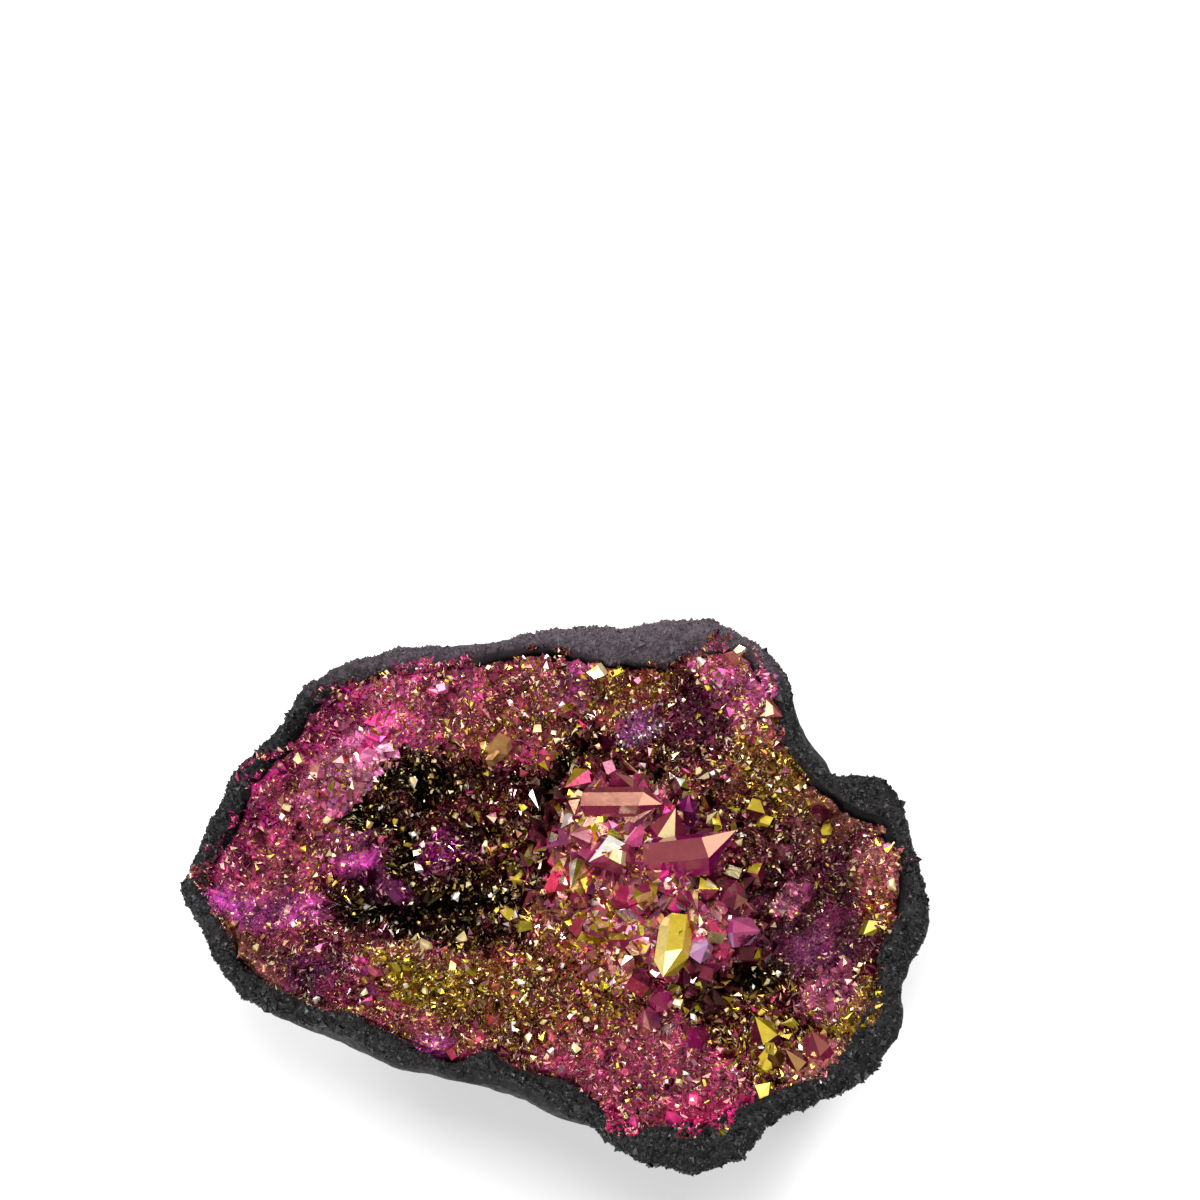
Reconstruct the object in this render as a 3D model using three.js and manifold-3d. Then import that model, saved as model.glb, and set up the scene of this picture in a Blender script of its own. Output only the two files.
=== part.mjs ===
// Half of a cracked geode, lying on its rounded back with the hollow facing up.
// A bowl of dark stone holds one crust of quartz: a rough lining with pointed crystals grown out of it.
// Millimetres, +Z up, +X along the longest side. The origin is on the ground under the middle.

import * as THREE from 'three';
import { mergeVertices } from 'three/addons/utils/BufferGeometryUtils.js';
import { ImprovedNoise } from 'three/addons/math/ImprovedNoise.js';
import Module from 'manifold-3d';

const wasm = await Module();
wasm.setup();

// Driving dimensions
const RIM_HEIGHT = 34;          // ground to the broken rim, on average
const RIM_INSET = 0.9;          // width of the rounding along the rim's outer edge
const RIM_ROUNDING = 1.4;       // height of that rounding
const RIM_CROWN = 0.7;          // how far the middle of the rim face stands up
const RIM_FALL = 0.5;           // how far the rim face drops towards the crystals
const FOOT_WIDTH = 40;          // flat patch underneath, along X
const FOOT_DEPTH = 27;          // flat patch underneath, along Y
const FOOT_SHIFT = 3.5;         // how far the patch lies towards the back
const WALL_LIFT = 0.4;          // share of the outside's unevenness that also goes into its height
const WALL_ROUND = 1.65;        // how full the outside is: 1 is a cone, 2 nearly a ball
const NEAR_TUCK = 1.1;          // how much more steeply the outside draws in on the near side
const NEAR_CALM = 0.7;          // share of the swellings that is missing on the near side
const WALL_LEAST = 3.2;         // stone between the hollow and the outside, measured level
const WALL_CALM = 0.45;         // share of the way down where the torn edge has become a smooth dome
const HOLLOW_DEPTH = 27.5;      // rim to the deepest stone under the crystals
const HOLLOW_ROUND = 0.92;      // how quickly the hollow's wall draws in below the rim
const HOLLOW_NEAR = 0.7;        // how much more quickly it draws in on the near side
const CRUST_GAP = 0.5;          // clearance between the stone and the crust, measured level
const SIDES = 88;               // steps around the stone
const OUTSIDE_STEPS = 8;        // steps up the outside
const HOLLOW_STEPS = 6;         // steps down the hollow
const LINING_CELL = 3.3;        // grid step of the crust's rough top
const LINING_FACET = 0.9;       // how far single corners of the rough top stand up or lie back
const LINING_PROUD = 0.2;       // how far the crystals stand above the broken face along its edge
const CRYSTAL_SIDES = 6;        // quartz is six-sided
const LARGE_ROOTED = 0.3;       // share of a large point's length that is sunk in the lining
const TIP_PER_WIDTH = 0.9;      // length of a large point's tip for its width
const TIP_MOST = 0.55;          // longest tip, as a share of the point
const SMALL_POINTS = 120;       // scattered points, besides the large ones listed below
const SMALL_WIDTH = 2.4;        // width of a scattered point away from the ridge
const SMALL_GAIN = 1.8;         // how much wider one on the ridge is
const SMALL_ROOTED = 0.45;      // share of a scattered point's length that is sunk in the lining
const SMALL_LEAN = 0.45;        // how far a scattered point leans from the lining's normal
const SMALL_SPACING = 3.4;      // least distance between points
const SMALL_LIMIT = 0.93;       // share of the way to the crystals' edge that scattered points keep within
const SEED = 41;

// Unevenness: its height, the size of its lumps, and a phase that keeps it unlike the others
const RIM_SWELL = { height: 1.3, size: 34, phase: 3.3 };
const RIM_GRAIN = { height: 0.45, size: 3.1, phase: 2.9 };
const WALL_SWELL = { height: 3.2, size: 33, phase: 4.4 };
const WALL_LUMPS = { height: 2.3, size: 14, phase: 1.3 };
const WALL_CREASES = { height: 1.2, size: 21, phase: 7.7 };
const FLOOR_LUMPS = { height: 1.9, size: 8.5, phase: 5.1 };
const FLOOR_GRAIN = { height: 0.9, size: 4, phase: 9.4 };
const LINING_DRIFT_X = { height: 0.8, size: 3.7, phase: 1.1 };
const LINING_DRIFT_Y = { height: 0.8, size: 3.7, phase: 6.1 };

// Outer edge of the stone seen from above, anticlockwise from the right-hand tip
const OUTER_EDGE = [
  [52.7, -4], [52, 1.5], [50.5, 6.5], [49.6, 13.5], [46.3, 18], [39.3, 17.5], [34.6, 23.5],
  [33.2, 32.2], [31, 36], [27.5, 39.6], [23.4, 41.2], [17, 41.2], [11.5, 40.4], [0.4, 41],
  [-5, 40.2], [-10.7, 38.7], [-21.8, 37.4], [-28.2, 36], [-36, 32], [-39.6, 25.4], [-42.5, 21],
  [-45.5, 18.4], [-46.8, 15], [-48.8, 11.6], [-49.5, 7.6], [-52.7, 0.2], [-48.9, -5.7],
  [-47.7, -9.4], [-43.9, -16], [-38.2, -18.6], [-32, -19.9], [-25.7, -22.4], [-19, -26],
  [-13, -27.8], [-5, -28.7], [0.4, -32], [6, -35.3], [8.8, -38], [14.6, -40.3], [18, -41.2],
  [26.8, -38.4], [27.9, -35.3], [30.6, -32.7], [36.8, -31], [43.5, -27], [48, -21.3],
  [48.7, -18.6], [47.8, -15.8], [49.6, -10], [51.8, -6.2],
];

// Line on the broken face where the stone ends and the crystals begin
const CRYSTAL_EDGE = [
  [49, 2.5], [49.2, 7.5], [45.2, 11.3], [39.2, 12.8], [37, 17], [36.6, 19.7], [32.4, 26.8],
  [30.4, 32.8], [26.7, 37.4], [22, 37.5], [16.8, 34.5], [14.3, 33.5], [12.2, 35], [8, 33.7],
  [3.5, 36.2], [-3, 38], [-12, 35.4], [-18.3, 35.4], [-29.5, 31.6], [-34.8, 29.5], [-37.9, 24],
  [-44.8, 17], [-42.7, 15], [-45.2, 9.7], [-47.5, 8], [-49.5, 1], [-47.4, -7.6], [-41, -12.7],
  [-34, -17.4], [-27, -18], [-21.5, -23], [-13.5, -25.3], [-11.8, -22.9], [-7.9, -22.6],
  [-6.8, -24.8], [1.4, -26.4], [6, -30.7], [9.5, -34.4], [20.6, -34.6], [28.2, -29.8],
  [36.6, -26.9], [40.4, -21.7], [42.7, -16.8], [44.6, -13.3], [44.3, -7.9], [48, -3.9],
];

// Depth of the crystal floor below the rim: a shallow bowl, then pits and rises laid over it.
// Each form is an ellipse with its middle, half lengths, turn in degrees and depth. A rise is negative.
const BOWL_DEPTH = 13.5;
const BOWL_FLATNESS = 2.4;
const BOWL_STEEPNESS = 0.75;
const FORM_FADE = 6;
const FLOOR_FORMS = [
  { x: -14, y: 12, along: 15, across: 11, turn: 12, depth: 10.5, edge: 3 },     // deep dark pit
  { x: -20, y: 0, along: 11, across: 5, turn: 0, depth: 5, edge: 2 },           // its lower left bay
  { x: -15, y: 9, along: 5, across: 3, turn: 20, depth: -4, edge: 1.4 },        // rise in the pit's floor
  { x: 4, y: 24, along: 11, across: 4.5, turn: -8, depth: 7, edge: 1.6 },       // slit behind the ridge
  { x: 25, y: -8, along: 5.5, across: 3.6, turn: 20, depth: 7, edge: 2 },       // small black pit
  { x: 35, y: 3, along: 10, across: 9, turn: 0, depth: 3, edge: 1.4 },          // right-hand basin
  { x: 13.5, y: 7, along: 16, across: 7, turn: -52, depth: -6, edge: 1.3 },     // ridge of large crystals
  { x: -8, y: -12, along: 15, across: 6, turn: -10, depth: -3, edge: 1.2 },     // swelling in front
  { x: -26, y: 9.5, along: 5, across: 2.6, turn: 8, depth: -6, edge: 1.6 },     // lump inside the pit
  { x: -37, y: 9, along: 10, across: 15, turn: 0, depth: -3, edge: 1.5 },       // left-hand slope
  { x: 26, y: 25, along: 9, across: 7, turn: 30, depth: -2.5, edge: 1.3 },      // shoulder at the back right
];

// The lip over the deep pit: the slope to the left of this line hangs out over the floor
const LIP = { from: [-33, 3], to: [-22, 24], reach: 3.2, blur: 4, height: 17 };

// Large points: middle of the root, length, width, heading in degrees from +X, and lift above level
const LARGE_POINTS = [
  { x: 17, y: 7.2, length: 13.5, width: 5.8, heading: -2, lift: 22 },
  { x: 7.4, y: 15, length: 12, width: 3.8, heading: -10, lift: 24 },
  { x: 15.6, y: 10.8, length: 7.5, width: 5, heading: 75, lift: 62 },
  { x: 8.6, y: 7.6, length: 7.5, width: 5.2, heading: 205, lift: 60 },
  { x: 9.8, y: 17.6, length: 7.5, width: 4, heading: 120, lift: 62 },
  { x: 16.6, y: -4.4, length: 10, width: 5, heading: 262, lift: 40 },
  { x: 20.2, y: -5.6, length: 7, width: 3.4, heading: 285, lift: 60 },
  { x: 25, y: -2.2, length: 8.5, width: 4.8, heading: -28, lift: 48 },
  { x: 20.8, y: 3.4, length: 6.5, width: 4, heading: -20, lift: 55 },
  { x: 13, y: 2.4, length: 7.5, width: 4, heading: 250, lift: 68 },
  { x: 18.8, y: 14.2, length: 8, width: 2.8, heading: 95, lift: 66 },
  { x: 21.8, y: 12.6, length: 6, width: 3, heading: 40, lift: 60 },
  { x: 4.6, y: 11, length: 6, width: 3.6, heading: 190, lift: 50 },
  { x: 3.8, y: 3.4, length: 6, width: 3.4, heading: 225, lift: 62 },
  { x: 9, y: -3.2, length: 6, width: 3.6, heading: 240, lift: 66 },
  { x: 15, y: -12.4, length: 6.5, width: 3.6, heading: 265, lift: 62 },
  { x: -8.2, y: 25.4, length: 6.5, width: 3.4, heading: 250, lift: 40 },
  { x: -27, y: 9, length: 9, width: 4, heading: 8, lift: 24 },
  { x: -28.2, y: -12.8, length: 6.5, width: 4.4, heading: 80, lift: 55 },
  { x: -35, y: -9.4, length: 6.5, width: 4.2, heading: 60, lift: 50 },
  { x: -31.5, y: -12.6, length: 6, width: 3.6, heading: 40, lift: 58 },
  { x: 28.6, y: 14.6, length: 5.5, width: 3.2, heading: 200, lift: 60 },
  { x: 37.6, y: 12.6, length: 4.5, width: 2.8, heading: 240, lift: 55 },
  { x: 32.6, y: 7.4, length: 5, width: 3, heading: 150, lift: 66 },
  { x: 36, y: 8.8, length: 4.5, width: 2.8, heading: 60, lift: 70 },
  { x: 26, y: 33, length: 6, width: 4.2, heading: 240, lift: 55 },
  { x: 22.6, y: 33.6, length: 5.5, width: 3.8, heading: 270, lift: 60 },
  { x: -2, y: 34.6, length: 6, width: 5, heading: 265, lift: 60 },
  { x: -6.4, y: 33.6, length: 5.5, width: 4.2, heading: 280, lift: 60 },
  { x: -17, y: 31.8, length: 5, width: 3.6, heading: 275, lift: 55 },
  { x: -34, y: 25.4, length: 6, width: 4.6, heading: 320, lift: 55 },
  { x: -41, y: 14.6, length: 5.5, width: 4.4, heading: 345, lift: 55 },
  { x: -45.4, y: 3.4, length: 5.5, width: 4.6, heading: 0, lift: 50 },
  { x: 29, y: -19.4, length: 6.5, width: 4.6, heading: 130, lift: 58 },
  { x: 29.8, y: -24, length: 5.5, width: 3.8, heading: 100, lift: 62 },
  { x: 19.6, y: -19, length: 5.5, width: 3, heading: 80, lift: 66 },
  { x: 38.4, y: -13, length: 6, width: 4.2, heading: 165, lift: 58 },
  { x: 36.2, y: -22.6, length: 5.5, width: 4, heading: 140, lift: 60 },
  { x: 33.4, y: -24.4, length: 5, width: 3.4, heading: 120, lift: 62 },
  { x: 45, y: 5.2, length: 5, width: 4.2, heading: 180, lift: 55 },
  { x: 15, y: -31, length: 5, width: 4.2, heading: 95, lift: 58 },
];

// Where the scattered points are largest: an ellipse over the ridge
const RIDGE = { x: 8, y: 5, along: 26, across: 17 };

// The block whose top is carved into the rough lining
const LINING_BLOCK = { width: 108, depth: 86, height: 10 };

// Colours of the two materials
const STONE_COLOUR = 0x2c2a2e;
const CRYSTAL_COLOUR = 0xa03a76;

const noise = new ImprovedNoise();

function random() {
  return THREE.MathUtils.seededRandom();
}

function between(low, high) {
  return low + (high - low) * random();
}

// How far a kind of unevenness stands up or lies back at a place
function lumps(kind, x, y, z) {
  const { height, size, phase } = kind;
  return 1.6 * height * noise.noise(x / size + phase, y / size + phase * 0.7, z / size - phase);
}

// Distance from the middle to a star-shaped outline, along a heading in radians
function reachOf(outline, angle) {
  const dx = Math.cos(angle);
  const dy = Math.sin(angle);
  for (let i = 0; i < outline.length; i += 1) {
    const [ax, ay] = outline[i];
    const [bx, by] = outline[(i + 1) % outline.length];
    const before = dx * ay - dy * ax;
    const after = dx * by - dy * bx;
    const ahead = dx * (ax + bx) + dy * (ay + by) > 0;
    if (before <= 0 && after > 0 && ahead) {
      const share = before / (before - after);
      return dx * (ax + share * (bx - ax)) + dy * (ay + share * (by - ay));
    }
  }
  throw new Error(`The outline is open at ${angle}`);
}

// The same distance, with the outline's corners evened out as far as calm goes from 0 to 1
function calmReachOf(outline, angle, calm) {
  const spread = [-24, -16, -8, 0, 8, 16, 24].map(THREE.MathUtils.degToRad);
  const reaches = spread.map((turn) => reachOf(outline, angle + turn));
  const even = reaches.reduce((sum, reach) => sum + reach, 0) / reaches.length;
  return THREE.MathUtils.lerp(reachOf(outline, angle), even, THREE.MathUtils.clamp(calm, 0, 1));
}

// Distance from the middle to the inner side of the stone
function innerReach(angle, calm) {
  const outside = calmReachOf(OUTER_EDGE, angle, calm) - WALL_LEAST;
  return Math.min(calmReachOf(CRYSTAL_EDGE, angle, calm), outside);
}

// Height of the broken face at a place in plan
function rimHeight(x, y) {
  return RIM_HEIGHT + lumps(RIM_SWELL, x, y, 0);
}

// Signed strength of one floor form: 1 in its middle, 0 outside
function formStrength(form, x, y) {
  const turn = THREE.MathUtils.degToRad(form.turn);
  const dx = x - form.x;
  const dy = y - form.y;
  const u = (dx * Math.cos(turn) + dy * Math.sin(turn)) / form.along;
  const v = (dy * Math.cos(turn) - dx * Math.sin(turn)) / form.across;
  return Math.exp(-Math.pow(u * u + v * v, form.edge));
}

// Depth of the crystal floor below the rim
function floorDepth(x, y) {
  const share = Math.min(1, Math.hypot(x, y) / innerReach(Math.atan2(y, x), 0));
  let depth = BOWL_DEPTH * Math.pow(1 - Math.pow(share, BOWL_FLATNESS), BOWL_STEEPNESS);
  const fade = 1 - Math.pow(share, FORM_FADE);
  for (const form of FLOOR_FORMS) {
    depth += fade * form.depth * formStrength(form, x, y);
  }
  depth += fade * (lumps(FLOOR_LUMPS, x, y, 0) + lumps(FLOOR_GRAIN, x, y, 0));
  return Math.max(depth, -LINING_PROUD);
}

function floorHeight(x, y) {
  return rimHeight(x, y) - floorDepth(x, y);
}

// How far the slope hangs out over the deep pit: 1 along the lip, 0 away from it
function lipStrength(x, y) {
  const along = [LIP.to[0] - LIP.from[0], LIP.to[1] - LIP.from[1]];
  const length = Math.hypot(...along);
  const share = ((x - LIP.from[0]) * along[0] + (y - LIP.from[1]) * along[1]) / (length * length);
  const near = THREE.MathUtils.clamp(share, 0, 1);
  const distance = Math.hypot(x - LIP.from[0] - near * along[0], y - LIP.from[1] - near * along[1]);
  return Math.exp(-Math.pow(distance / LIP.blur, 2));
}

// Closed triangle mesh from stacked rings of points, capped by a fan to a point at each end
function ringGeometry(rings, firstCap, lastCap) {
  const count = rings[0].length;
  const positions = [];
  const triangle = (a, b, c) => positions.push(a.x, a.y, a.z, b.x, b.y, b.z, c.x, c.y, c.z);
  for (let i = 0; i < count; i += 1) {
    const next = (i + 1) % count;
    triangle(firstCap, rings[0][next], rings[0][i]);
    for (let k = 0; k + 1 < rings.length; k += 1) {
      triangle(rings[k][i], rings[k][next], rings[k + 1][next]);
      triangle(rings[k][i], rings[k + 1][next], rings[k + 1][i]);
    }
    triangle(lastCap, rings[rings.length - 1][i], rings[rings.length - 1][next]);
  }
  const geometry = new THREE.BufferGeometry();
  geometry.setAttribute('position', new THREE.Float32BufferAttribute(positions, 3));
  return mergeVertices(geometry, 1e-4);
}

// The same mesh with its faces pointing the other way
function turnedInsideOut(geometry) {
  const order = geometry.getIndex().array;
  for (let i = 0; i < order.length; i += 3) {
    [order[i], order[i + 1]] = [order[i + 1], order[i]];
  }
  return geometry;
}

// One ring of points around the middle, from a function of heading that gives a Vector3
function ring(sides, place) {
  return Array.from({ length: sides }, (unused, i) => place((2 * Math.PI * i) / sides));
}

// How far a heading points to the near side: 1 straight ahead of it, 0 at the sides and the back
function nearShare(angle) {
  return Math.max(0, -Math.sin(angle));
}

// A point of the domed outside: share 0 at the foot, 1 at the rim
function outsidePoint(angle, share) {
  const rise = (1 - share) * (Math.PI / 2);
  const edge = calmReachOf(OUTER_EDGE, angle, (1 - share) / WALL_CALM);
  const round = 1 / Math.hypot(Math.cos(angle) / (FOOT_WIDTH / 2), Math.sin(angle) / (FOOT_DEPTH / 2));
  const foot = round + FOOT_SHIFT * Math.sin(angle);
  const bulge = Math.cos(rise);
  const reach = foot + (edge - foot) * bulge;
  const x = reach * Math.cos(angle);
  const y = reach * Math.sin(angle);
  const top = rimHeight(edge * Math.cos(angle), edge * Math.sin(angle)) - RIM_ROUNDING;
  const z = top * (1 - Math.pow(Math.sin(rise), WALL_ROUND + NEAR_TUCK * nearShare(angle)));
  const cover = Math.sin(Math.PI * share) * (1 - NEAR_CALM * nearShare(angle));
  const creases = WALL_CREASES.height - 3 * Math.abs(lumps(WALL_CREASES, x, y, z));
  const swell = cover * (lumps(WALL_SWELL, x, y, z) + lumps(WALL_LUMPS, x, y, z) + creases);
  const height = Math.max(0, z + WALL_LIFT * swell);
  const least = hollowReach(angle, hollowShare(height)) + WALL_LEAST;
  const grown = Math.max(Math.min(reach + swell, edge), least) / reach;
  return new THREE.Vector3(x * grown, y * grown, height);
}

// A point of the broken rim face: share 0 at its outer edge, 1 where the crystals begin
function rimPoint(angle, share) {
  const outer = reachOf(OUTER_EDGE, angle) - RIM_INSET;
  const inner = innerReach(angle, 0);
  const reach = outer + (inner - outer) * share;
  const x = reach * Math.cos(angle);
  const y = reach * Math.sin(angle);
  const crown = RIM_CROWN * Math.sin(Math.PI * share) - RIM_FALL * share;
  return new THREE.Vector3(x, y, rimHeight(x, y) + lumps(RIM_GRAIN, x, y, 0) + crown);
}

// Distance from the middle to the hollow's stone wall: share 0 at the rim, 1 at the deepest place
function hollowReach(angle, share) {
  const round = HOLLOW_ROUND + HOLLOW_NEAR * nearShare(angle);
  return innerReach(angle, share / WALL_CALM) * Math.pow(Math.cos(share * (Math.PI / 2)), round);
}

// The share at which the hollow's wall is at a height above the ground
function hollowShare(height) {
  const depth = THREE.MathUtils.clamp((RIM_HEIGHT - height) / HOLLOW_DEPTH, 0, 1);
  return Math.asin(depth) / (Math.PI / 2);
}

// A point of the hollow's stone wall, drawn in by a clearance
function hollowPoint(angle, share, clearance) {
  const sweep = share * (Math.PI / 2);
  const reach = Math.max(0, hollowReach(angle, share) - clearance);
  const lip = rimPoint(angle, 1).z;
  const depth = (HOLLOW_DEPTH - clearance) * Math.sin(sweep);
  const x = reach * Math.cos(angle);
  const y = reach * Math.sin(angle);
  return new THREE.Vector3(x, y, lip - depth * (lip / RIM_HEIGHT));
}

// Rings of the hollow's wall from just inside the rim to just above its deepest place
function hollowRings(clearance) {
  const shares = Array.from({ length: HOLLOW_STEPS - 1 }, (unused, k) => (k + 1) / HOLLOW_STEPS);
  return shares.map((share) => ring(SIDES, (angle) => hollowPoint(angle, share, clearance)));
}

// The bowl of dark stone, from its flat foot over the rim and down into the hollow
function rindGeometry() {
  const rings = [];
  for (let k = 0; k <= OUTSIDE_STEPS; k += 1) {
    rings.push(ring(SIDES, (angle) => outsidePoint(angle, k / OUTSIDE_STEPS)));
  }
  for (const share of [0, 0.45, 1]) {
    rings.push(ring(SIDES, (angle) => rimPoint(angle, share)));
  }
  rings.push(...hollowRings(0));
  return ringGeometry(rings, new THREE.Vector3(0, 0, 0), hollowPoint(0, 1, 0));
}

// The space the crust may fill: the hollow less the clearance, open upwards past the crystal tips
function envelopeGeometry() {
  const top = ring(SIDES, (angle) => hollowPoint(angle, 0, CRUST_GAP + 0.6).setZ(RIM_HEIGHT + 8));
  const mouth = ring(SIDES, (angle) => hollowPoint(angle, 0, CRUST_GAP));
  const rings = [top, mouth, ...hollowRings(CRUST_GAP)];
  const above = new THREE.Vector3(0, 0, RIM_HEIGHT + 8);
  return turnedInsideOut(ringGeometry(rings, above, hollowPoint(0, 1, CRUST_GAP)));
}

// A block whose top face is the rough crystal floor, with the lip drawn out over the pit
function liningGeometry() {
  const { width, depth, height } = LINING_BLOCK;
  const columns = Math.round(width / LINING_CELL);
  const rows = Math.round(depth / LINING_CELL);
  const block = new THREE.BoxGeometry(width, depth, height, columns, rows, 1);
  block.deleteAttribute('normal');
  block.deleteAttribute('uv');
  const geometry = mergeVertices(block, 1e-4);
  const position = geometry.getAttribute('position');
  for (let i = 0; i < position.count; i += 1) {
    if (position.getZ(i) > 0) {
      const x = position.getX(i) + lumps(LINING_DRIFT_X, position.getX(i), position.getY(i), 4);
      const y = position.getY(i) + lumps(LINING_DRIFT_Y, position.getX(i), position.getY(i), 8);
      const z = floorHeight(x, y) + LINING_FACET * between(-1, 1);
      const above = THREE.MathUtils.clamp((z - LIP.height) / 6, -1, 1);
      const shift = LIP.reach * above * lipStrength(x, y);
      position.setXYZ(i, x + shift, y - 0.4 * shift, z);
    }
  }
  return geometry;
}

// A quartz point with its root at the origin: a six-sided pyramid, on a six-sided prism if it is a large one
function pointGeometry(length, width, prism) {
  const profile = [new THREE.Vector2(0, 0), new THREE.Vector2(width / 2, 0)];
  if (prism > 0) {
    profile.push(new THREE.Vector2(width / 2, prism));
  }
  profile.push(new THREE.Vector2(0, length));
  const geometry = new THREE.LatheGeometry(profile, CRYSTAL_SIDES);
  geometry.deleteAttribute('normal');
  geometry.deleteAttribute('uv');
  return mergeVertices(geometry, 1e-4);
}

// A point laid along a direction, turned about its own length, with its root at a place
function placedPoint(length, width, prism, root, direction, spin) {
  const geometry = pointGeometry(length, width, prism);
  const up = new THREE.Vector3(0, 1, 0);
  const turn = new THREE.Quaternion().setFromUnitVectors(up, direction.clone().normalize());
  turn.multiply(new THREE.Quaternion().setFromAxisAngle(up, spin));
  geometry.applyQuaternion(turn);
  geometry.translate(root.x, root.y, root.z);
  return geometry;
}

function largePoint(entry) {
  const heading = THREE.MathUtils.degToRad(entry.heading);
  const lift = THREE.MathUtils.degToRad(entry.lift);
  const level = Math.cos(lift);
  const direction = new THREE.Vector3(level * Math.cos(heading), level * Math.sin(heading), Math.sin(lift));
  const root = new THREE.Vector3(entry.x, entry.y, floorHeight(entry.x, entry.y));
  root.addScaledVector(direction, -LARGE_ROOTED * entry.length);
  const prism = entry.length - Math.min(TIP_PER_WIDTH * entry.width, TIP_MOST * entry.length);
  return placedPoint(entry.length, entry.width, prism, root, direction, 0.4 + entry.x);
}

// Upward normal of the crystal floor
function floorNormal(x, y) {
  const step = 1.5;
  const slopeX = (floorHeight(x + step, y) - floorHeight(x - step, y)) / (2 * step);
  const slopeY = (floorHeight(x, y + step) - floorHeight(x, y - step)) / (2 * step);
  return new THREE.Vector3(-slopeX, -slopeY, 1).normalize();
}

// Points are largest around the ridge and the dark pit and small on the slopes up to the rim
function smallPointWidth(x, y) {
  const away = Math.hypot((x - RIDGE.x) / RIDGE.along, (y - RIDGE.y) / RIDGE.across);
  return (SMALL_WIDTH + SMALL_GAIN * Math.exp(-away * away)) * between(0.8, 1.25);
}

function smallPoint(x, y) {
  const width = smallPointWidth(x, y);
  const length = width * between(1.3, 1.7);
  const direction = floorNormal(x, y);
  direction.x += between(-SMALL_LEAN, SMALL_LEAN);
  direction.y += between(-SMALL_LEAN, SMALL_LEAN);
  direction.normalize();
  const root = new THREE.Vector3(x, y, floorHeight(x, y));
  root.addScaledVector(direction, -SMALL_ROOTED * length);
  return placedPoint(length, width, 0, root, direction, between(0, Math.PI));
}

// Places for the small points, none of them too close to another
function scatteredPlaces(count) {
  const places = LARGE_POINTS.map((entry) => [entry.x, entry.y]);
  const listed = places.length;
  while (places.length < count + listed) {
    const x = between(-LINING_BLOCK.width / 2, LINING_BLOCK.width / 2);
    const y = between(-LINING_BLOCK.depth / 2, LINING_BLOCK.depth / 2);
    const share = Math.hypot(x, y) / innerReach(Math.atan2(y, x), 0);
    const clear = places.every(([px, py]) => Math.hypot(px - x, py - y) > SMALL_SPACING);
    if (share < SMALL_LIMIT && clear) {
      places.push([x, y]);
    }
  }
  return places.slice(listed);
}

function solidOf(geometry) {
  const vertProperties = Float32Array.from(geometry.getAttribute('position').array);
  const triVerts = Uint32Array.from(geometry.getIndex().array);
  return new wasm.Manifold(new wasm.Mesh({ numProp: 3, vertProperties, triVerts }));
}

function geometryOf(solid) {
  const mesh = solid.getMesh();
  const geometry = new THREE.BufferGeometry();
  geometry.setAttribute('position', new THREE.Float32BufferAttribute(mesh.vertProperties, 3));
  geometry.setIndex(Array.from(mesh.triVerts));
  return geometry;
}

// The crust: lining and points joined, then trimmed to the space inside the stone
function crustGeometry() {
  THREE.MathUtils.seededRandom(SEED);
  let crust = solidOf(liningGeometry());
  for (const entry of LARGE_POINTS) {
    crust = crust.add(solidOf(largePoint(entry)));
  }
  for (const [x, y] of scatteredPlaces(SMALL_POINTS)) {
    crust = crust.add(solidOf(smallPoint(x, y)));
  }
  return geometryOf(crust.intersect(solidOf(envelopeGeometry())));
}

const stone = new THREE.MeshStandardMaterial({ color: STONE_COLOUR, roughness: 0.85, metalness: 0 });
const quartz = new THREE.MeshStandardMaterial({ color: CRYSTAL_COLOUR, roughness: 0.25, metalness: 0.3 });
quartz.flatShading = true;

const rind = new THREE.Mesh(rindGeometry(), stone);
rind.name = 'rind';

const crust = new THREE.Mesh(crustGeometry(), quartz);
crust.name = 'crystal_crust';

const geode = new THREE.Group();
geode.add(rind, crust);

export default geode;
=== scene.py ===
# Half of a dyed, metal-coated quartz geode, lying on its rounded back.
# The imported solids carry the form. This script dresses them: grainy dark stone, and a hollow lined with
# thousands of small flat-faced crystals around a ridge of large ones. Metres, +Z up.

import math
from collections import namedtuple

import bpy
import numpy as np
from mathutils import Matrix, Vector
from mathutils.bvhtree import BVHTree


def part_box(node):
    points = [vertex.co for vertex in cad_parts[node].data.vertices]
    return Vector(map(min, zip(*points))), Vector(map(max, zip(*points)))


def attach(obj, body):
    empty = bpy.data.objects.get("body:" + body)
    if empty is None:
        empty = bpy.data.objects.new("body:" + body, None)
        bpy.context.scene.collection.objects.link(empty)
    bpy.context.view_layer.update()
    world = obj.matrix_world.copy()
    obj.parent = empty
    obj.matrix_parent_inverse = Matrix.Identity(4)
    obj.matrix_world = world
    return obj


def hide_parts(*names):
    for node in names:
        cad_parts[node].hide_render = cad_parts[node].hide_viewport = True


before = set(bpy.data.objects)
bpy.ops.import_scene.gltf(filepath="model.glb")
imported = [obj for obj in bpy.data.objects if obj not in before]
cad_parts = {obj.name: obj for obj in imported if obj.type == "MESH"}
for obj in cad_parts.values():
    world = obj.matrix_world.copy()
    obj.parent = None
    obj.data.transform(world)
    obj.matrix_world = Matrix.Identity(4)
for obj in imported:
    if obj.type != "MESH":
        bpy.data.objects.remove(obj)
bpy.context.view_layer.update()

MM = 0.001
SEED = 20

Surface = namedtuple("Surface", "places normals corners")
Crystals = namedtuple("Crystals", "roots directions widths lengths")
Zone = namedtuple("Zone", "middle half turn tint gold pink pale dull grain cover")
ZoneValues = namedtuple("ZoneValues", "tint coats dull grain cover")
LargePoint = namedtuple("LargePoint", "x y length width heading lift tint coats share")

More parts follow.
